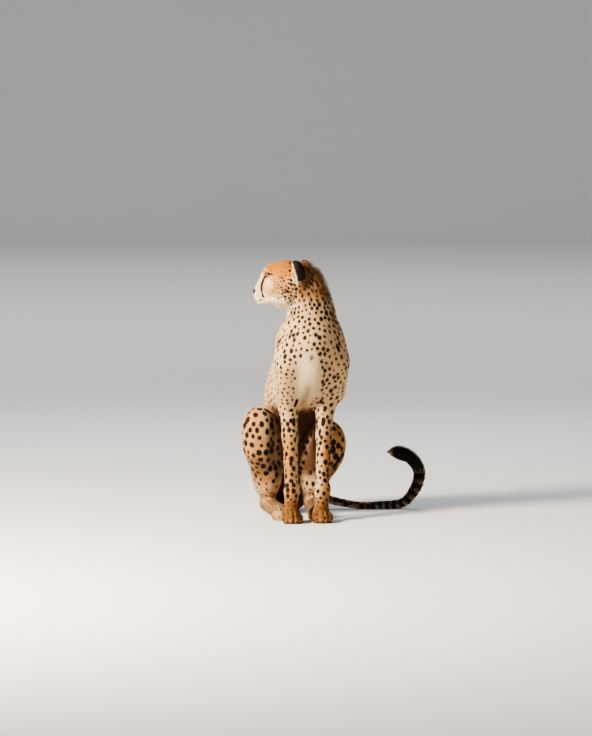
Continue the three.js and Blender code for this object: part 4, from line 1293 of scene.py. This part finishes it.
# %% [markdown]
# ## An unwrap for the coat's colours
# The coat's colours can be baked to an image only if each tuft has a small place of its own on
# one. The skin is opened flat along its turns, and a tuft takes the place its root has there.

# %% Unwrap the skin
BAKE_MAP = "OFBake"
skin_mesh.uv_layers.new(name=BAKE_MAP)
bpy.context.view_layer.objects.active = skin
skin.select_set(True)
bpy.ops.object.mode_set(mode="EDIT")
bpy.ops.mesh.select_all(action="SELECT")
bpy.ops.uv.smart_project(angle_limit=math.radians(60), island_margin=0.003)
bpy.ops.object.mode_set(mode="OBJECT")
skin.select_set(False)
print("skin unwrapped")

# %% [markdown]
# ## Tufts
# Real hair is far too fine to model one by one, but it parts into tufts that lie over each other
# like thin leaves. Each tuft here is a small closed wedge: rooted in the skin, laid along the
# coat, its tip lifted to where the coat ends. Long hair, as on the mane, cheeks and tail, gets
# a bent spike instead. Hair curves would be quicker to comb, but they are lost when a model is
# handed on, and solid mesh isn't.

# %% How long, thick and close the tufts are
TUFT_TRIANGLES = 1_440_000  # in the whole coat
MOST_TRIANGLES = 190_000  # in one coat piece
SHORT_TRIANGLES, LONG_TRIANGLES = 4, 10
EAR_HAIR, EAR_RIM_HAIR, IN_EAR_HAIR = 3.5, 10.0, 11.0
SOLE_BARE, LID_BARE, NOSE_BARE, CLAW_BARE = 1.2, 1.2, 1.4, 2.0  # hairless margins
CLAW_LENGTH, CLAW_RADIUS, CLAW_AHEAD, CLAW_DROP = 15, 3.2, 20, 0.35
CLAWS = {}  # the places of each paw's claws
for name, (paw_x, paw_y, (_, long, high), spread) in PAWS.items():
    CLAWS[name] = [
        (paw_x + toe * spread, toe_y(paw_y, long, toe) - CLAW_AHEAD, 0.42 * high) for toe in TOES
    ]


def claw_distance(p):
    d = np.full(len(p), FAR)
    low = p[:, 2] < 40
    for places in CLAWS.values():
        for place in places:
            away = np.linalg.norm(p[low] - np.array(place), axis=1)
            d[low] = np.minimum(d[low], away - CLAW_LENGTH / 2)
    return d


tail_brush = share["tail"] * ramp(0.5, 0.8, tail_run / TAIL_LENGTH)
ruff = share["head"] * ramp(105, 140, back) * ramp(30, -10, up) * ramp(200, 165, back)
hair_length = by_part(trunk=9.0, neck=9.0, head=5.4, tail=9.5, fore=7.5, hind=9.5)
hair_length -= share["head"] * 2.6 * ramp(110, 50, back)
hair_length += 4 * ruff + 13 * mane + 9 * tail_brush
hair_length += 4 * pale * (share["trunk"] + share["neck"])
hair_length = towards(hair_length, 3.4, feet)
hair_length = np.where(on_ear, EAR_HAIR, hair_length)
hair_length = np.where(ear_rim, EAR_RIM_HAIR, hair_length)
hair_length = np.where(in_ear, IN_EAR_HAIR, hair_length)
hair_width = 0.3 + 0.1 * hair_length
hair_rise = coat_depth(skin_body, share) * (1 + 0.9 * mane + 0.2 * ruff)
hair_rise = np.where(on_ear, 1.2, hair_rise)
bare = (z < SOLE_BARE) | (cleft_distance(skin_body) < -0.3)
for s in (1, -1):
    away, _, _, _ = eye_place(skin_body, s)
    bare |= (away < 26) & (eye_opening(skin_body, s) < LID_BARE)
nose = ball(head_point(*NOSE_PLACE), NOSE_PAD, HEAD_AXES)
bare |= nose.distance(skin_body) < NOSE_BARE
bare |= claw_distance(skin_body) < CLAW_BARE
long_hair = ((mane > 0.4) & ~on_ear) | (tail_brush > 0.35) | in_ear | (ruff > 0.6)
closeness = np.where(bare, 0, 1 / (0.5 * hair_length * hair_width))
closeness = np.where(in_ear, 0.35 * closeness, closeness)
closeness *= 1 - 0.25 * share["head"]
print("hair from", round(hair_length.min(), 1), "to", round(hair_length.max(), 1), "mm")

# %% Which coat piece each corner belongs to
piece_names = [n.replace("fore_", "foreleg_").replace("hind_", "hindleg_") for n in PARTS]
piece_of = np.stack([share[n] for n in PARTS]).argmax(0)
piece_names += ["mane", "ears"]
piece_of = np.where(mane > 0.4, piece_names.index("mane"), piece_of)
piece_of = np.where(on_ear, piece_names.index("ears"), piece_of)
print("coat regions:", len(piece_names))

# %% Plant the roots
skin_mesh.calc_loop_triangles()
tri_corners = read(skin_mesh.loop_triangles, "vertices", 3, int)
tri_loops = read(skin_mesh.loop_triangles, "loops", 3, int)
loop_places = read(skin_mesh.uv_layers[BAKE_MAP].data, "uv", 2)
edge_a = skin_body[tri_corners[:, 1]] - skin_body[tri_corners[:, 0]]
edge_b = skin_body[tri_corners[:, 2]] - skin_body[tri_corners[:, 0]]
tri_area = np.linalg.norm(np.cross(edge_a, edge_b), axis=1) / 2
tufts_in = tri_area * closeness[tri_corners].mean(1)
cost = np.where(long_hair[tri_corners].mean(1) > 0.5, LONG_TRIANGLES, SHORT_TRIANGLES)
cover = TUFT_TRIANGLES / (tufts_in * cost).sum()
wanted = np.cumsum(tufts_in * cover)
planted = np.searchsorted(wanted, np.arange(0.5, wanted[-1]))
u, v = random.random(len(planted)), random.random(len(planted))
u, v = np.where(u + v > 1, 1 - u, u), np.where(u + v > 1, 1 - v, v)
blend_of = np.stack([1 - u - v, u, v], 1)
root_corners = tri_corners[planted]
print("layers of tufts:", round(cover, 2), "tufts:", len(planted))


# %% Each tuft's own measures
LENGTHS, WIDTHS, RISES = (0.7, 1.25), (0.75, 1.25), (0.35, 1.0)  # how much tufts differ
STEEPEST = 0.7  # the most that a tuft rises for its length
SWING = 0.15  # how far tufts stray from the lie, in radians
COLOUR_FROM = 0.45  # where along its run a tuft takes the colour of the coat


def at_roots(values):
    picked = values[root_corners]
    return (picked * (blend_of if values.ndim == 1 else blend_of[:, :, None])).sum(1)


root = at_roots(skin_body)
root_normal = unit(at_roots(skin_normal))
root_lie = flat_on(at_roots(skin_lie), root_normal)
root_uv = (loop_places[tri_loops[planted]] * blend_of[:, :, None]).sum(1)
nearest = root_corners[np.arange(len(planted)), blend_of.argmax(1)]
root_piece, root_long = piece_of[nearest], long_hair[nearest]
swing = random.normal(0, SWING, len(root))
aside = np.cross(root_normal, root_lie)
root_lie = root_lie * np.cos(swing)[:, None] + aside * np.sin(swing)[:, None]
aside = np.cross(root_normal, root_lie)
length = at_roots(hair_length) * random.uniform(*LENGTHS, len(root))
width = at_roots(hair_width) * random.uniform(*WIDTHS, len(root))
rise = at_roots(hair_rise) * random.uniform(*RISES, len(root))
rise = np.minimum(rise, STEEPEST * length)
run = np.sqrt(length ** 2 - rise ** 2)
halfway = root + root_lie * (COLOUR_FROM * run)[:, None]
root_spots = np.where(spotless[nearest], FAR, spot_edge(halfway))
root_dark = np.clip(np.minimum(at_roots(placed_marks), root_spots), -MARK_REACH, MARK_REACH)
root_marks = {name: at_roots(values) for name, values in MARKS.items()}
root_marks["dark"] = root_dark
print("long tufts:", int(root_long.sum()), "black ones:", int((root_dark < 0).sum()))

# %% Shape the tufts
WEDGE = [(0, 1, 2), (0, 2, 3), (2, 1, 3), (1, 0, 3)]
SPIKE = [
    (0, 1, 2), (0, 2, 5), (0, 5, 3), (2, 1, 4), (2, 4, 5),
    (1, 0, 3), (1, 3, 4), (3, 5, 6), (5, 4, 6), (4, 3, 6),
]
SUNK = 0.4  # how deep a root sits in the skin, in millimetres
TUFT_FLOOR_GAP = 0.3  # how far tufts stay above the floor, in millimetres
PATCH = 0.0015  # half the width of a tuft's place on the bake map


def along_tuft(pick, out, up_by, side):
    """A point on each tuft: a share of its run, a height, and a share of its width to the side."""
    along = root_lie[pick] * (out * run[pick])[:, None]
    across = aside[pick] * (side * width[pick])[:, None]
    return root[pick] + along + root_normal[pick] * up_by[:, None] + across


def wedge_points(pick):
    w, h = width[pick], rise[pick]
    sunk = np.full(len(w), -SUNK)
    return np.stack([
        along_tuft(pick, 0, sunk, 0.5),
        along_tuft(pick, 0, sunk, -0.5),
        along_tuft(pick, 0.38, 0.5 * h + 0.22 * w, 0),
        along_tuft(pick, 1, h, 0),
    ], 1)


def spike_points(pick):
    w, h = width[pick], rise[pick]
    sunk = np.full(len(w), -SUNK)
    return np.stack([
        along_tuft(pick, 0, sunk, 0.5),
        along_tuft(pick, 0, sunk, -0.5),
        along_tuft(pick, 0.04, 0.45 * w, 0),
        along_tuft(pick, 0.45, 0.72 * h - 0.15 * w, 0.36),
        along_tuft(pick, 0.45, 0.72 * h - 0.15 * w, -0.36),
        along_tuft(pick, 0.47, 0.72 * h + 0.25 * w, 0),
        along_tuft(pick, 1, h, 0),
    ], 1)


Tuft = namedtuple("Tuft", "points faces tips spread")  # spread: each corner's place on its patch
SHORT_TUFT = Tuft(wedge_points, np.array(WEDGE), [0, 0, 0.45, 1], [(-1, -1), (1, -1), (0, 0), (0, 1)])
LONG_TUFT = Tuft(
    spike_points, np.array(SPIKE), [0, 0, 0.1, 0.5, 0.5, 0.55, 1],
    [(-1, -1), (1, -1), (0, -1), (-1, 0), (1, 0), (0, 0), (0, 1)],
)
print("corners of a tuft:", len(SHORT_TUFT.tips), "or", len(LONG_TUFT.tips))


# %% Make the coat's pieces
def closed_mesh(name, points, faces):
    """A mesh of triangles straight from arrays, as a list would take too long."""
    mesh = bpy.data.meshes.new(name)
    mesh.vertices.add(len(points))
    mesh.vertices.foreach_set("co", to_frame(points).ravel())
    mesh.loops.add(faces.size)
    mesh.loops.foreach_set("vertex_index", faces.ravel())
    mesh.polygons.add(len(faces))
    mesh.polygons.foreach_set("loop_start", np.arange(0, faces.size, 3))
    smooth(mesh)
    mesh.update(calc_edges=True)
    return mesh


def tuft_mesh(name, pick, tuft):
    points = tuft.points(pick)
    each = points.shape[1]
    points = points.reshape(-1, 3)
    points[:, 2] = np.maximum(points[:, 2], TUFT_FLOOR_GAP)
    faces = (np.arange(len(pick))[:, None, None] * each + tuft.faces[None]).reshape(-1, 3)
    mesh = closed_mesh(name, points, faces)
    give(mesh, "root", np.repeat(to_frame(root[pick]), each, 0), "FLOAT_VECTOR")
    for mark, values in root_marks.items():
        give(mesh, mark, np.repeat(values[pick], each))
    give(mesh, "shade", np.repeat(random.random(len(pick)), each))
    give(mesh, "tip", np.tile(tuft.tips, len(pick)))
    patch = np.array(tuft.spread) * PATCH
    places = np.repeat(root_uv[pick], each, 0) + np.tile(patch, (len(pick), 1))
    uv = mesh.uv_layers.new(name=BAKE_MAP)
    uv.data.foreach_set("uv", places[faces.ravel()].ravel())
    tilt = aside[pick][:, None] * np.array([0.5 * across for across, _ in tuft.spread])[None, :, None]
    lean = root_lie[pick][:, None] * np.array(tuft.tips)[None, :, None] * 0.25
    rough = random.normal(0, 0.1, (len(pick), 1, 3))
    normals = unit(root_normal[pick][:, None] - tilt + lean + rough).reshape(-1, 3)
    mesh.normals_split_custom_set_from_vertices(normals.tolist())
    mesh.materials.append(TUFT_HAIR)
    return mesh


coat = []
for number, part in enumerate(piece_names):
    for long, tuft in ((False, SHORT_TUFT), (True, LONG_TUFT)):
        chosen = np.flatnonzero((root_piece == number) & (root_long == long))
        if not len(chosen):
            continue
        pieces = math.ceil(len(chosen) * len(tuft.faces) / MOST_TRIANGLES)
        order = chosen[np.argsort(root[chosen, 2], kind="stable")]
        for i, pick in enumerate(np.array_split(order, pieces)):
            name = f"coat_{part}" + ("_long" if long else "") + (f"_{i + 1}" if pieces > 1 else "")
            piece = new_object(name, tuft_mesh(name, pick, tuft))
            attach(piece, "root")
            coat.append(piece)
            print(name, len(piece.data.polygons), "triangles")
print("coat pieces:", len(coat), "triangles:", sum(len(p.data.polygons) for p in coat))

# %% [markdown]
# ## Eyes
# A cheetah's eye is amber to brown with a round pupil, set in black lids. The ball is turned
# about its line of sight, with the cornea standing a millimetre proud, and every corner keeps
# its angle from that line, so the material can draw pupil, iris and rim as rings. A painted
# picture of an eye would be quicker, but rings drawn by angle stay sharp however near one comes.

# %% Eyeballs
EYE_RINGS, EYE_TURNS = 36, 48
CORNEA_EDGE, CORNEA_RISE = 0.82, 1.0  # radians from the line of sight, millimetres
PUPIL_EDGE, IRIS_EDGE = 0.27, 0.78
EYE_BACK = 2.4  # the ball ends here behind, well inside the head


def turned_mesh(name, centre, axes, profile, turns):
    """A closed surface turned about the first axis, from (radius, height) down the profile."""
    front, across, over = axes
    points = [centre + front * profile[0][1]]
    for radius, height in profile[1:]:
        for k in range(turns):
            t = 2 * math.pi * k / turns
            spoke = across * math.cos(t) + over * math.sin(t)
            points.append(centre + front * height + radius * spoke)
    faces = [(0, 1 + (k + 1) % turns, 1 + k) for k in range(turns)]
    for ring in range(len(profile) - 2):
        a, b = 1 + ring * turns, 1 + (ring + 1) * turns
        for k in range(turns):
            n = (k + 1) % turns
            faces.append((a + k, a + n, b + n, b + k))
    last = 1 + (len(profile) - 2) * turns
    faces.append(tuple(last + k for k in range(turns)))
    mesh = mesh_from(name, to_frame(np.array(points)), faces)
    smooth(mesh)
    return mesh


def make_eye(name, s):
    gaze, along, over = eye_axes(s)
    angles = np.linspace(0, EYE_BACK, EYE_RINGS)
    radii = EYE_RADIUS - 0.1 + CORNEA_RISE * np.maximum(1 - (angles / CORNEA_EDGE) ** 2, 0)
    profile = list(zip(radii * np.sin(angles), radii * np.cos(angles)))
    centre = head_point(EYE_PLACE[0], EYE_PLACE[1] * s, EYE_PLACE[2])
    axes = (gaze, along, np.cross(gaze, along))
    piece = new_object(name, turned_mesh(name, centre, axes, profile, EYE_TURNS))
    seen = body_corners(piece.data) - centre
    angle = np.arccos(np.clip(unit(seen) @ gaze, -1, 1))
    spoke = unit(np.stack([seen @ axes[1], seen @ axes[2]], 1) + 1e-9)
    give(piece.data, "from_gaze", angle)
    give(piece.data, "spoke", np.column_stack([spoke, 0.4 * angle]), "FLOAT_VECTOR")
    return piece


print("an eye has", EYE_RINGS * EYE_TURNS, "corners")

# %% [markdown]
# ## The eye's finish
# A wet cornea is the glossiest thing on the animal: a clear film, with an index of refraction of
# 1.376, over an iris of fine spokes. The film is the shader's coat, so its highlight stays
# whole while the spokes under it vary.

# %% Wet eye
CORNEA_IOR = 1.376
AMBER, AMBER_DEEP = linear("#7d4c1b"), linear("#2f190b")
PUPIL_BLACK, EYE_WHITE = linear("#050404"), linear("#3a241a")
WET_EYE, tree, shader = material("wet_amber_eye")
gaze_angle = node(tree, "ShaderNodeAttribute", out="Fac", attribute_name="from_gaze")
spokes_at = node(tree, "ShaderNodeAttribute", out="Vector", attribute_name="spoke")
spokes = node(tree, "ShaderNodeTexNoise", {"Vector": spokes_at, "Scale": 9.0, "Detail": 4.0})
iris = mix(tree, spokes, AMBER_DEEP, AMBER)
for start, end, colour in (
    (PUPIL_EDGE + 0.05, PUPIL_EDGE, PUPIL_BLACK), (IRIS_EDGE - 0.09, IRIS_EDGE, PUPIL_BLACK),
    (IRIS_EDGE, IRIS_EDGE + 0.12, EYE_WHITE),
):
    iris = mix(tree, fade(tree, gaze_angle, start, end), iris, colour)
tree.links.new(iris, shader.inputs["Base Color"])
shader.inputs["Roughness"].default_value = 0.35
shader.inputs["IOR"].default_value = CORNEA_IOR
shader.inputs["Coat Weight"].default_value = 1.0
shader.inputs["Coat Roughness"].default_value = 0.02
shader.inputs["Coat IOR"].default_value = CORNEA_IOR
for name, s in (("left", 1), ("right", -1)):
    eye = make_eye(f"eyeball_{name}", s)
    eye.data.materials.append(WET_EYE)
    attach(eye, "root")
    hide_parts(f"eye_{name}")
print("eyes made: 2")

# %% [markdown]
# ## Nose leather
# The nose pad is bare skin: a wedge with a groove down the middle and two comma-shaped
# nostrils that run out to the sides, its surface broken into tiny moist grains. It is one
# rounded form, pushed in where the nostrils and the groove are.

# %% Nose pad
NOSE_RINGS, NOSE_TURNS = 72, 96
NOSTRIL = (0.5, -0.18)  # its place on the pad: to the side and up, from -1 to 1
NOSTRIL_SIZE = (0.24, 0.15)  # on the same scale
NOSTRIL_DEPTH, GROOVE_DEPTH, GROOVE_WIDTH = 4.6, 1.1, 0.07
FLATTENED = 0.8  # the front of the pad is flatter than a ball


def nose_points():
    """The pad's corners: a globe seen as front, side and up, narrowed below and pushed in."""
    tilt = np.linspace(0, np.pi, NOSE_RINGS)[1:-1, None]
    turn = np.linspace(0, 2 * np.pi, NOSE_TURNS, endpoint=False)[None]
    front = np.sin(tilt) * np.cos(turn)
    side = np.sin(tilt) * np.sin(turn)
    high = np.cos(tilt) * np.ones_like(turn)
    front, side, high = (np.r_[0, v.ravel(), 0] for v in (front, side, high))
    high[0], high[-1] = 1, -1
    narrow = 0.72 + 0.28 * np.clip(1.6 * high, -1, 1)
    slant = (np.abs(side) - NOSTRIL[0]) * 0.5
    out, over = np.abs(side) - NOSTRIL[0], high - NOSTRIL[1] - slant
    hole = (out / NOSTRIL_SIZE[0]) ** 2 + (over / NOSTRIL_SIZE[1]) ** 2
    groove = np.exp(-((side / GROOVE_WIDTH) ** 2)) * ramp(0.5, -0.2, high)
    push = NOSTRIL_DEPTH * np.exp(-hole) + GROOVE_DEPTH * groove
    push = push * ramp(0.0, 0.35, front)
    deep, wide, tall = NOSE_PAD
    places = [
        head_point(NOSE_PLACE[0] - f * deep * FLATTENED + p, s * wide * n, NOSE_PLACE[2] + h * tall)
        for f, s, h, n, p in zip(front, side, high, narrow, push)
    ]
    return np.array(places)


def nose_faces():
    last = (NOSE_RINGS - 2) * NOSE_TURNS + 1
    faces = []
    for k in range(NOSE_TURNS):
        n = (k + 1) % NOSE_TURNS
        faces.append((0, 1 + k, 1 + n))
        faces.append((last, last - NOSE_TURNS + n, last - NOSE_TURNS + k))
        for ring in range(NOSE_RINGS - 3):
            a = 1 + ring * NOSE_TURNS
            faces.append((a + k, a + NOSE_TURNS + k, a + NOSE_TURNS + n, a + n))
    return faces


nose_mesh = mesh_from("nose_pad", to_frame(nose_points()), nose_faces())
bm = bmesh.new()
bm.from_mesh(nose_mesh)
bmesh.ops.recalc_face_normals(bm, faces=bm.faces)
bm.to_mesh(nose_mesh)
bm.free()
smooth(nose_mesh)
nose_pad = new_object("nose_pad", nose_mesh)
print("nose pad:", len(nose_mesh.polygons), "faces")

# %% Moist black leather
GRAIN, NOSE_BLOTCH = 0.9, 8  # width of the nose's grains and of its paler patches, in millimetres
NOSE_LEATHER, tree, shader = material("moist_nose_leather")
place = node(tree, "ShaderNodeTexCoord", out="Object")
grains = node(tree, "ShaderNodeTexVoronoi", {"Vector": place, "Scale": 1 / (GRAIN * MM)}, out="Distance")
two_tone(tree, shader, speckle(tree, place, NOSE_BLOTCH), "#0e0a0a", "#2a1c1a")
relief(tree, shader, grains, 0.6, -0.25)
shader.inputs["Roughness"].default_value = 0.45
shader.inputs["Coat Weight"].default_value = 0.15
shader.inputs["Coat Roughness"].default_value = 0.3
nose_mesh.materials.append(NOSE_LEATHER)
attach(nose_pad, "root")
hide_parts("nose")
print("nose finished")

# %% [markdown]
# ## Claws
# A cheetah can't draw its claws in fully, so their worn tips always show. Each is a blade of
# horn, deeper than it is wide, hooked down in an arc. It is a tube swept along that arc and
# thinned to its tip, made once for every toe by a loop.

# %% Claw blades
CLAW_HOOK = 0.75  # how far the arc bends down, in radians
CLAW_TAPER, CLAW_NARROW = 0.88, 0.68  # how much the tip is thinned, and width for depth
HORN_LAYER = 1.2  # thickness of the horn's layers, in millimetres
CLAW_RINGS, CLAW_SIDES = 12, 12
CLAW_HORN, tree, shader = material("worn_claw_horn")
place = node(tree, "ShaderNodeTexCoord", out="Object")
stretched = node(tree, "ShaderNodeMapping", {"Vector": place, "Scale": (1.0, 0.2, 1.0)})
two_tone(tree, shader, speckle(tree, stretched, HORN_LAYER, 3.0), "#1d1512", "#5a4636")
shader.inputs["Roughness"].default_value = 0.32
shader.inputs["IOR"].default_value = 1.55


def claw_points(x_at, y_at, z_at):
    """Rings down the arc, wide at the toe and closing to a blunt tip."""
    points = []
    bend = CLAW_LENGTH / CLAW_HOOK
    for t in np.linspace(0, 1, CLAW_RINGS):
        turn = CLAW_HOOK * t
        out, down = bend * math.sin(turn), bend * (1 - math.cos(turn))
        size = CLAW_RADIUS * (1 - CLAW_TAPER * t ** 1.6)
        for k in range(CLAW_SIDES):
            a = 2 * math.pi * k / CLAW_SIDES
            side, deep = CLAW_NARROW * size * math.cos(a), size * math.sin(a)
            ahead = out - CLAW_LENGTH / 2 + deep * math.sin(turn)
            fall = down - deep * math.cos(turn)
            points.append((x_at + side, y_at - ahead, z_at + CLAW_LENGTH * CLAW_DROP / 2 - fall))
    points = np.array(points)
    points[:, 2] = np.maximum(points[:, 2], FLOOR_GAP)
    return points


def tube_faces(rings, sides):
    faces = [tuple(range(sides)), tuple((rings - 1) * sides + k for k in reversed(range(sides)))]
    for ring in range(rings - 1):
        for k in range(sides):
            n = (k + 1) % sides
            a, b = ring * sides, (ring + 1) * sides
            faces.append((a + n, a + k, b + k, b + n))
    return faces


for paw_name, places in CLAWS.items():
    for n, place in enumerate(places):
        claw_node = f"{paw_name}_claw_{n + 1}"
        name = claw_node + "_horn"
        mesh = mesh_from(name, to_frame(claw_points(*place)), tube_faces(CLAW_RINGS, CLAW_SIDES))
        smooth(mesh)
        mesh.materials.append(CLAW_HORN)
        claw = new_object(name, mesh)
        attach(claw, "root")
        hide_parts(claw_node)
print("claws made:", 4 * len(TOES))

# %% [markdown]
# ## Whiskers
# A cheetah's whiskers are short and thin for a cat's. Each is a stiff white hair that springs
# from a dot on the lip and bends back, so it is a three-sided tube that thins to nothing.
# They are half a millimetre thick at the root, the least that a render can show.

# %% Whiskers
WHISKER_RINGS, WHISKER_SIDES, WHISKER_ROOT = 9, 3, 0.26
WHISKER_LENGTH = (34, 52)  # the shortest and the longest, in millimetres
WHISKER_HAIR, tree, shader = material("white_whisker_hair")
place = node(tree, "ShaderNodeTexCoord", out="Object")
two_tone(tree, shader, speckle(tree, place, 12), "#cfc4b4", "#f4efe6")
shader.inputs["Roughness"].default_value = 0.4


def whisker_points(corner, s):
    start, normal = skin_body[corner], skin_normal[corner]
    long = random.uniform(*WHISKER_LENGTH)
    out = unit(normal + 0.25 * HEAD_LEFT * s - 0.2 * FACING + random.normal(0, 0.08, 3))
    droop = -0.45 * FACING - 0.22 * UP
    points = []
    for t in np.linspace(0, 1, WHISKER_RINGS):
        middle = start - 0.8 * normal + long * (out * t + droop * t * t * 0.6)
        way = unit(out + 1.2 * droop * t)
        across = unit(np.cross(way, UP))
        over = np.cross(across, way)
        for k in range(WHISKER_SIDES):
            a = 2 * math.pi * k / WHISKER_SIDES
            spoke = across * math.cos(a) + over * math.sin(a)
            points.append(middle + WHISKER_ROOT * (1 - 0.85 * t) * spoke)
    return np.array(points)


for side_name, s in (("left", 1), ("right", -1)):
    points, faces = [], []
    for b, u in WHISKER_DOTS:
        base = len(points) * WHISKER_RINGS * WHISKER_SIDES
        points.append(whisker_points(on_side(b, u, s), s))
        faces += [tuple(base + k for k in face) for face in tube_faces(WHISKER_RINGS, WHISKER_SIDES)]
    name = f"whiskers_{side_name}"
    mesh = mesh_from(name, to_frame(np.concatenate(points)), faces)
    mesh.materials.append(WHISKER_HAIR)
    whiskers = new_object(name, mesh)
    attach(whiskers, "root")
print("whiskers made:", 2 * len(WHISKER_DOTS))

# %% [markdown]
# ## Camera, light and floor
# The camera looks from the front, a little to the animal's right and just above level, from far
# away, so that the figure keeps its true proportions. A warm light from the animal's right, as
# small as a low sun, shows the relief of the coat. A soft cool one fills the shade, one behind
# edges the back, and a large one hangs over the floor, so that the background stays pale.

# %% Camera
CAMERA_TURN, CAMERA_RISE, CAMERA_AWAY = math.radians(-10), math.radians(4), 15.0
AIM_RIGHT, AIM_UP = -0.042, 0.539  # from the body's own origin to the middle of the view
LENS = 209.6


def look(turn, rise):
    """The camera's own axes: right, up and back."""
    level = math.cos(rise)
    ahead = np.array([-math.sin(turn) * level, math.cos(turn) * level, -math.sin(rise)])
    right = unit(np.cross(ahead, UP))
    return right, np.cross(right, ahead), -ahead


camera = bpy.data.objects.new("camera", bpy.data.cameras.new("camera"))
bpy.context.scene.collection.objects.link(camera)
camera.data.lens = LENS
camera.data.clip_end = 100
right, over, behind = look(CAMERA_TURN, CAMERA_RISE)
aim = to_frame(np.zeros(3)) + right * AIM_RIGHT + over * AIM_UP
stand = np.eye(4)
stand[:3, :3] = np.stack([right, over, behind], 1)
stand[:3, 3] = aim + behind * CAMERA_AWAY
camera.matrix_world = Matrix(stand.tolist())
bpy.context.scene.camera = camera
print("camera at", stand[:3, 3].round(2).tolist())

# %% Lights
def area_light(name, place, aim_at, size, power, colour):
    light = bpy.data.lights.new(name, "AREA")
    light.shape = "RECTANGLE"
    light.size, light.size_y = size
    light.energy, light.color = power, colour
    holder = bpy.data.objects.new(name, light)
    bpy.context.scene.collection.objects.link(holder)
    holder.location = place
    away = unit(np.array(place) - np.array(aim_at))
    side = unit(np.cross(UP, away))
    axes = np.stack([side, np.cross(away, side), away], 1)
    holder.rotation_euler = Matrix(axes.tolist()).to_euler()


MIDDLE = (0, 0, 0.45)
SKY_STRENGTH = 0.3
LIGHTS = [  # name, place, where it points, size, watts, colour
    ("key_light", (-3.7, -2.5, 2.5), MIDDLE, (1.2, 1.2), 800, (1.0, 0.9, 0.78)),
    ("fill_light", (3.4, -3.0, 1.6), MIDDLE, (3.0, 3.0), 15, (0.6, 0.78, 1.0)),
    ("back_light", (0.5, 3.6, 3.2), MIDDLE, (3.0, 1.5), 60, (0.85, 0.93, 1.0)),
    ("floor_light", (0.0, 12.0, 9.0), (0, 13, 0), (14.0, 14.0), 800, (1.0, 1.0, 1.0)),
]
for row in LIGHTS:
    area_light(*row)
world = bpy.data.worlds.new("studio")
world.use_nodes = True
world.node_tree.nodes["Background"].inputs["Color"].default_value = linear("#dfe8f4")
world.node_tree.nodes["Background"].inputs["Strength"].default_value = SKY_STRENGTH
bpy.context.scene.world = world
bpy.context.scene.view_settings.look = "AgX - Medium High Contrast"
print("lights:", sum(thing.type == "LIGHT" for thing in bpy.data.objects))

# %% Backdrop
FLOOR_RADIUS, SWEEP, WALL = 24.0, 5.0, 8.0
SWEEP_STEPS, FLOOR_TURNS = 24, 96


def backdrop():
    """A round studio floor that bends up into a wall on every side, without an edge."""
    profile = []
    for i in range(SWEEP_STEPS + 1):
        turn = math.pi / 2 * i / SWEEP_STEPS
        profile.append((FLOOR_RADIUS + SWEEP * math.sin(turn), SWEEP * (1 - math.cos(turn))))
    profile.append((FLOOR_RADIUS + SWEEP, WALL))
    points, faces = [], [tuple(range(FLOOR_TURNS))]
    for radius, height in profile:
        for k in range(FLOOR_TURNS):
            turn = 2 * math.pi * k / FLOOR_TURNS
            points.append((radius * math.cos(turn), radius * math.sin(turn), height))
    for ring in range(len(profile) - 1):
        for k in range(FLOOR_TURNS):
            a, b = ring * FLOOR_TURNS + k, ring * FLOOR_TURNS + (k + 1) % FLOOR_TURNS
            faces.append((a, a + FLOOR_TURNS, b + FLOOR_TURNS, b))
    mesh = mesh_from("floor", np.array(points), faces)
    smooth(mesh)
    return mesh


FLOOR_PAINT, _, shader = material("matt_studio_paint")
shader.inputs["Base Color"].default_value = linear("#e6e2dc")
shader.inputs["Roughness"].default_value = 0.9
floor = new_object("floor", backdrop())
floor.data.materials.append(FLOOR_PAINT)
print("floor:", 2 * FLOOR_RADIUS, "m wide")

# %% Finish
FLESH = ["head", "ear_left", "ear_right", "neck", "trunk"]
FLESH += ["tail_base", "tail_middle", "tail_curl", "tail_tip"]
FLESH += ["foreleg_left", "foreleg_right", "hindleg_left", "hindleg_right"]
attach(skin, "root")
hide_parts(*FLESH)
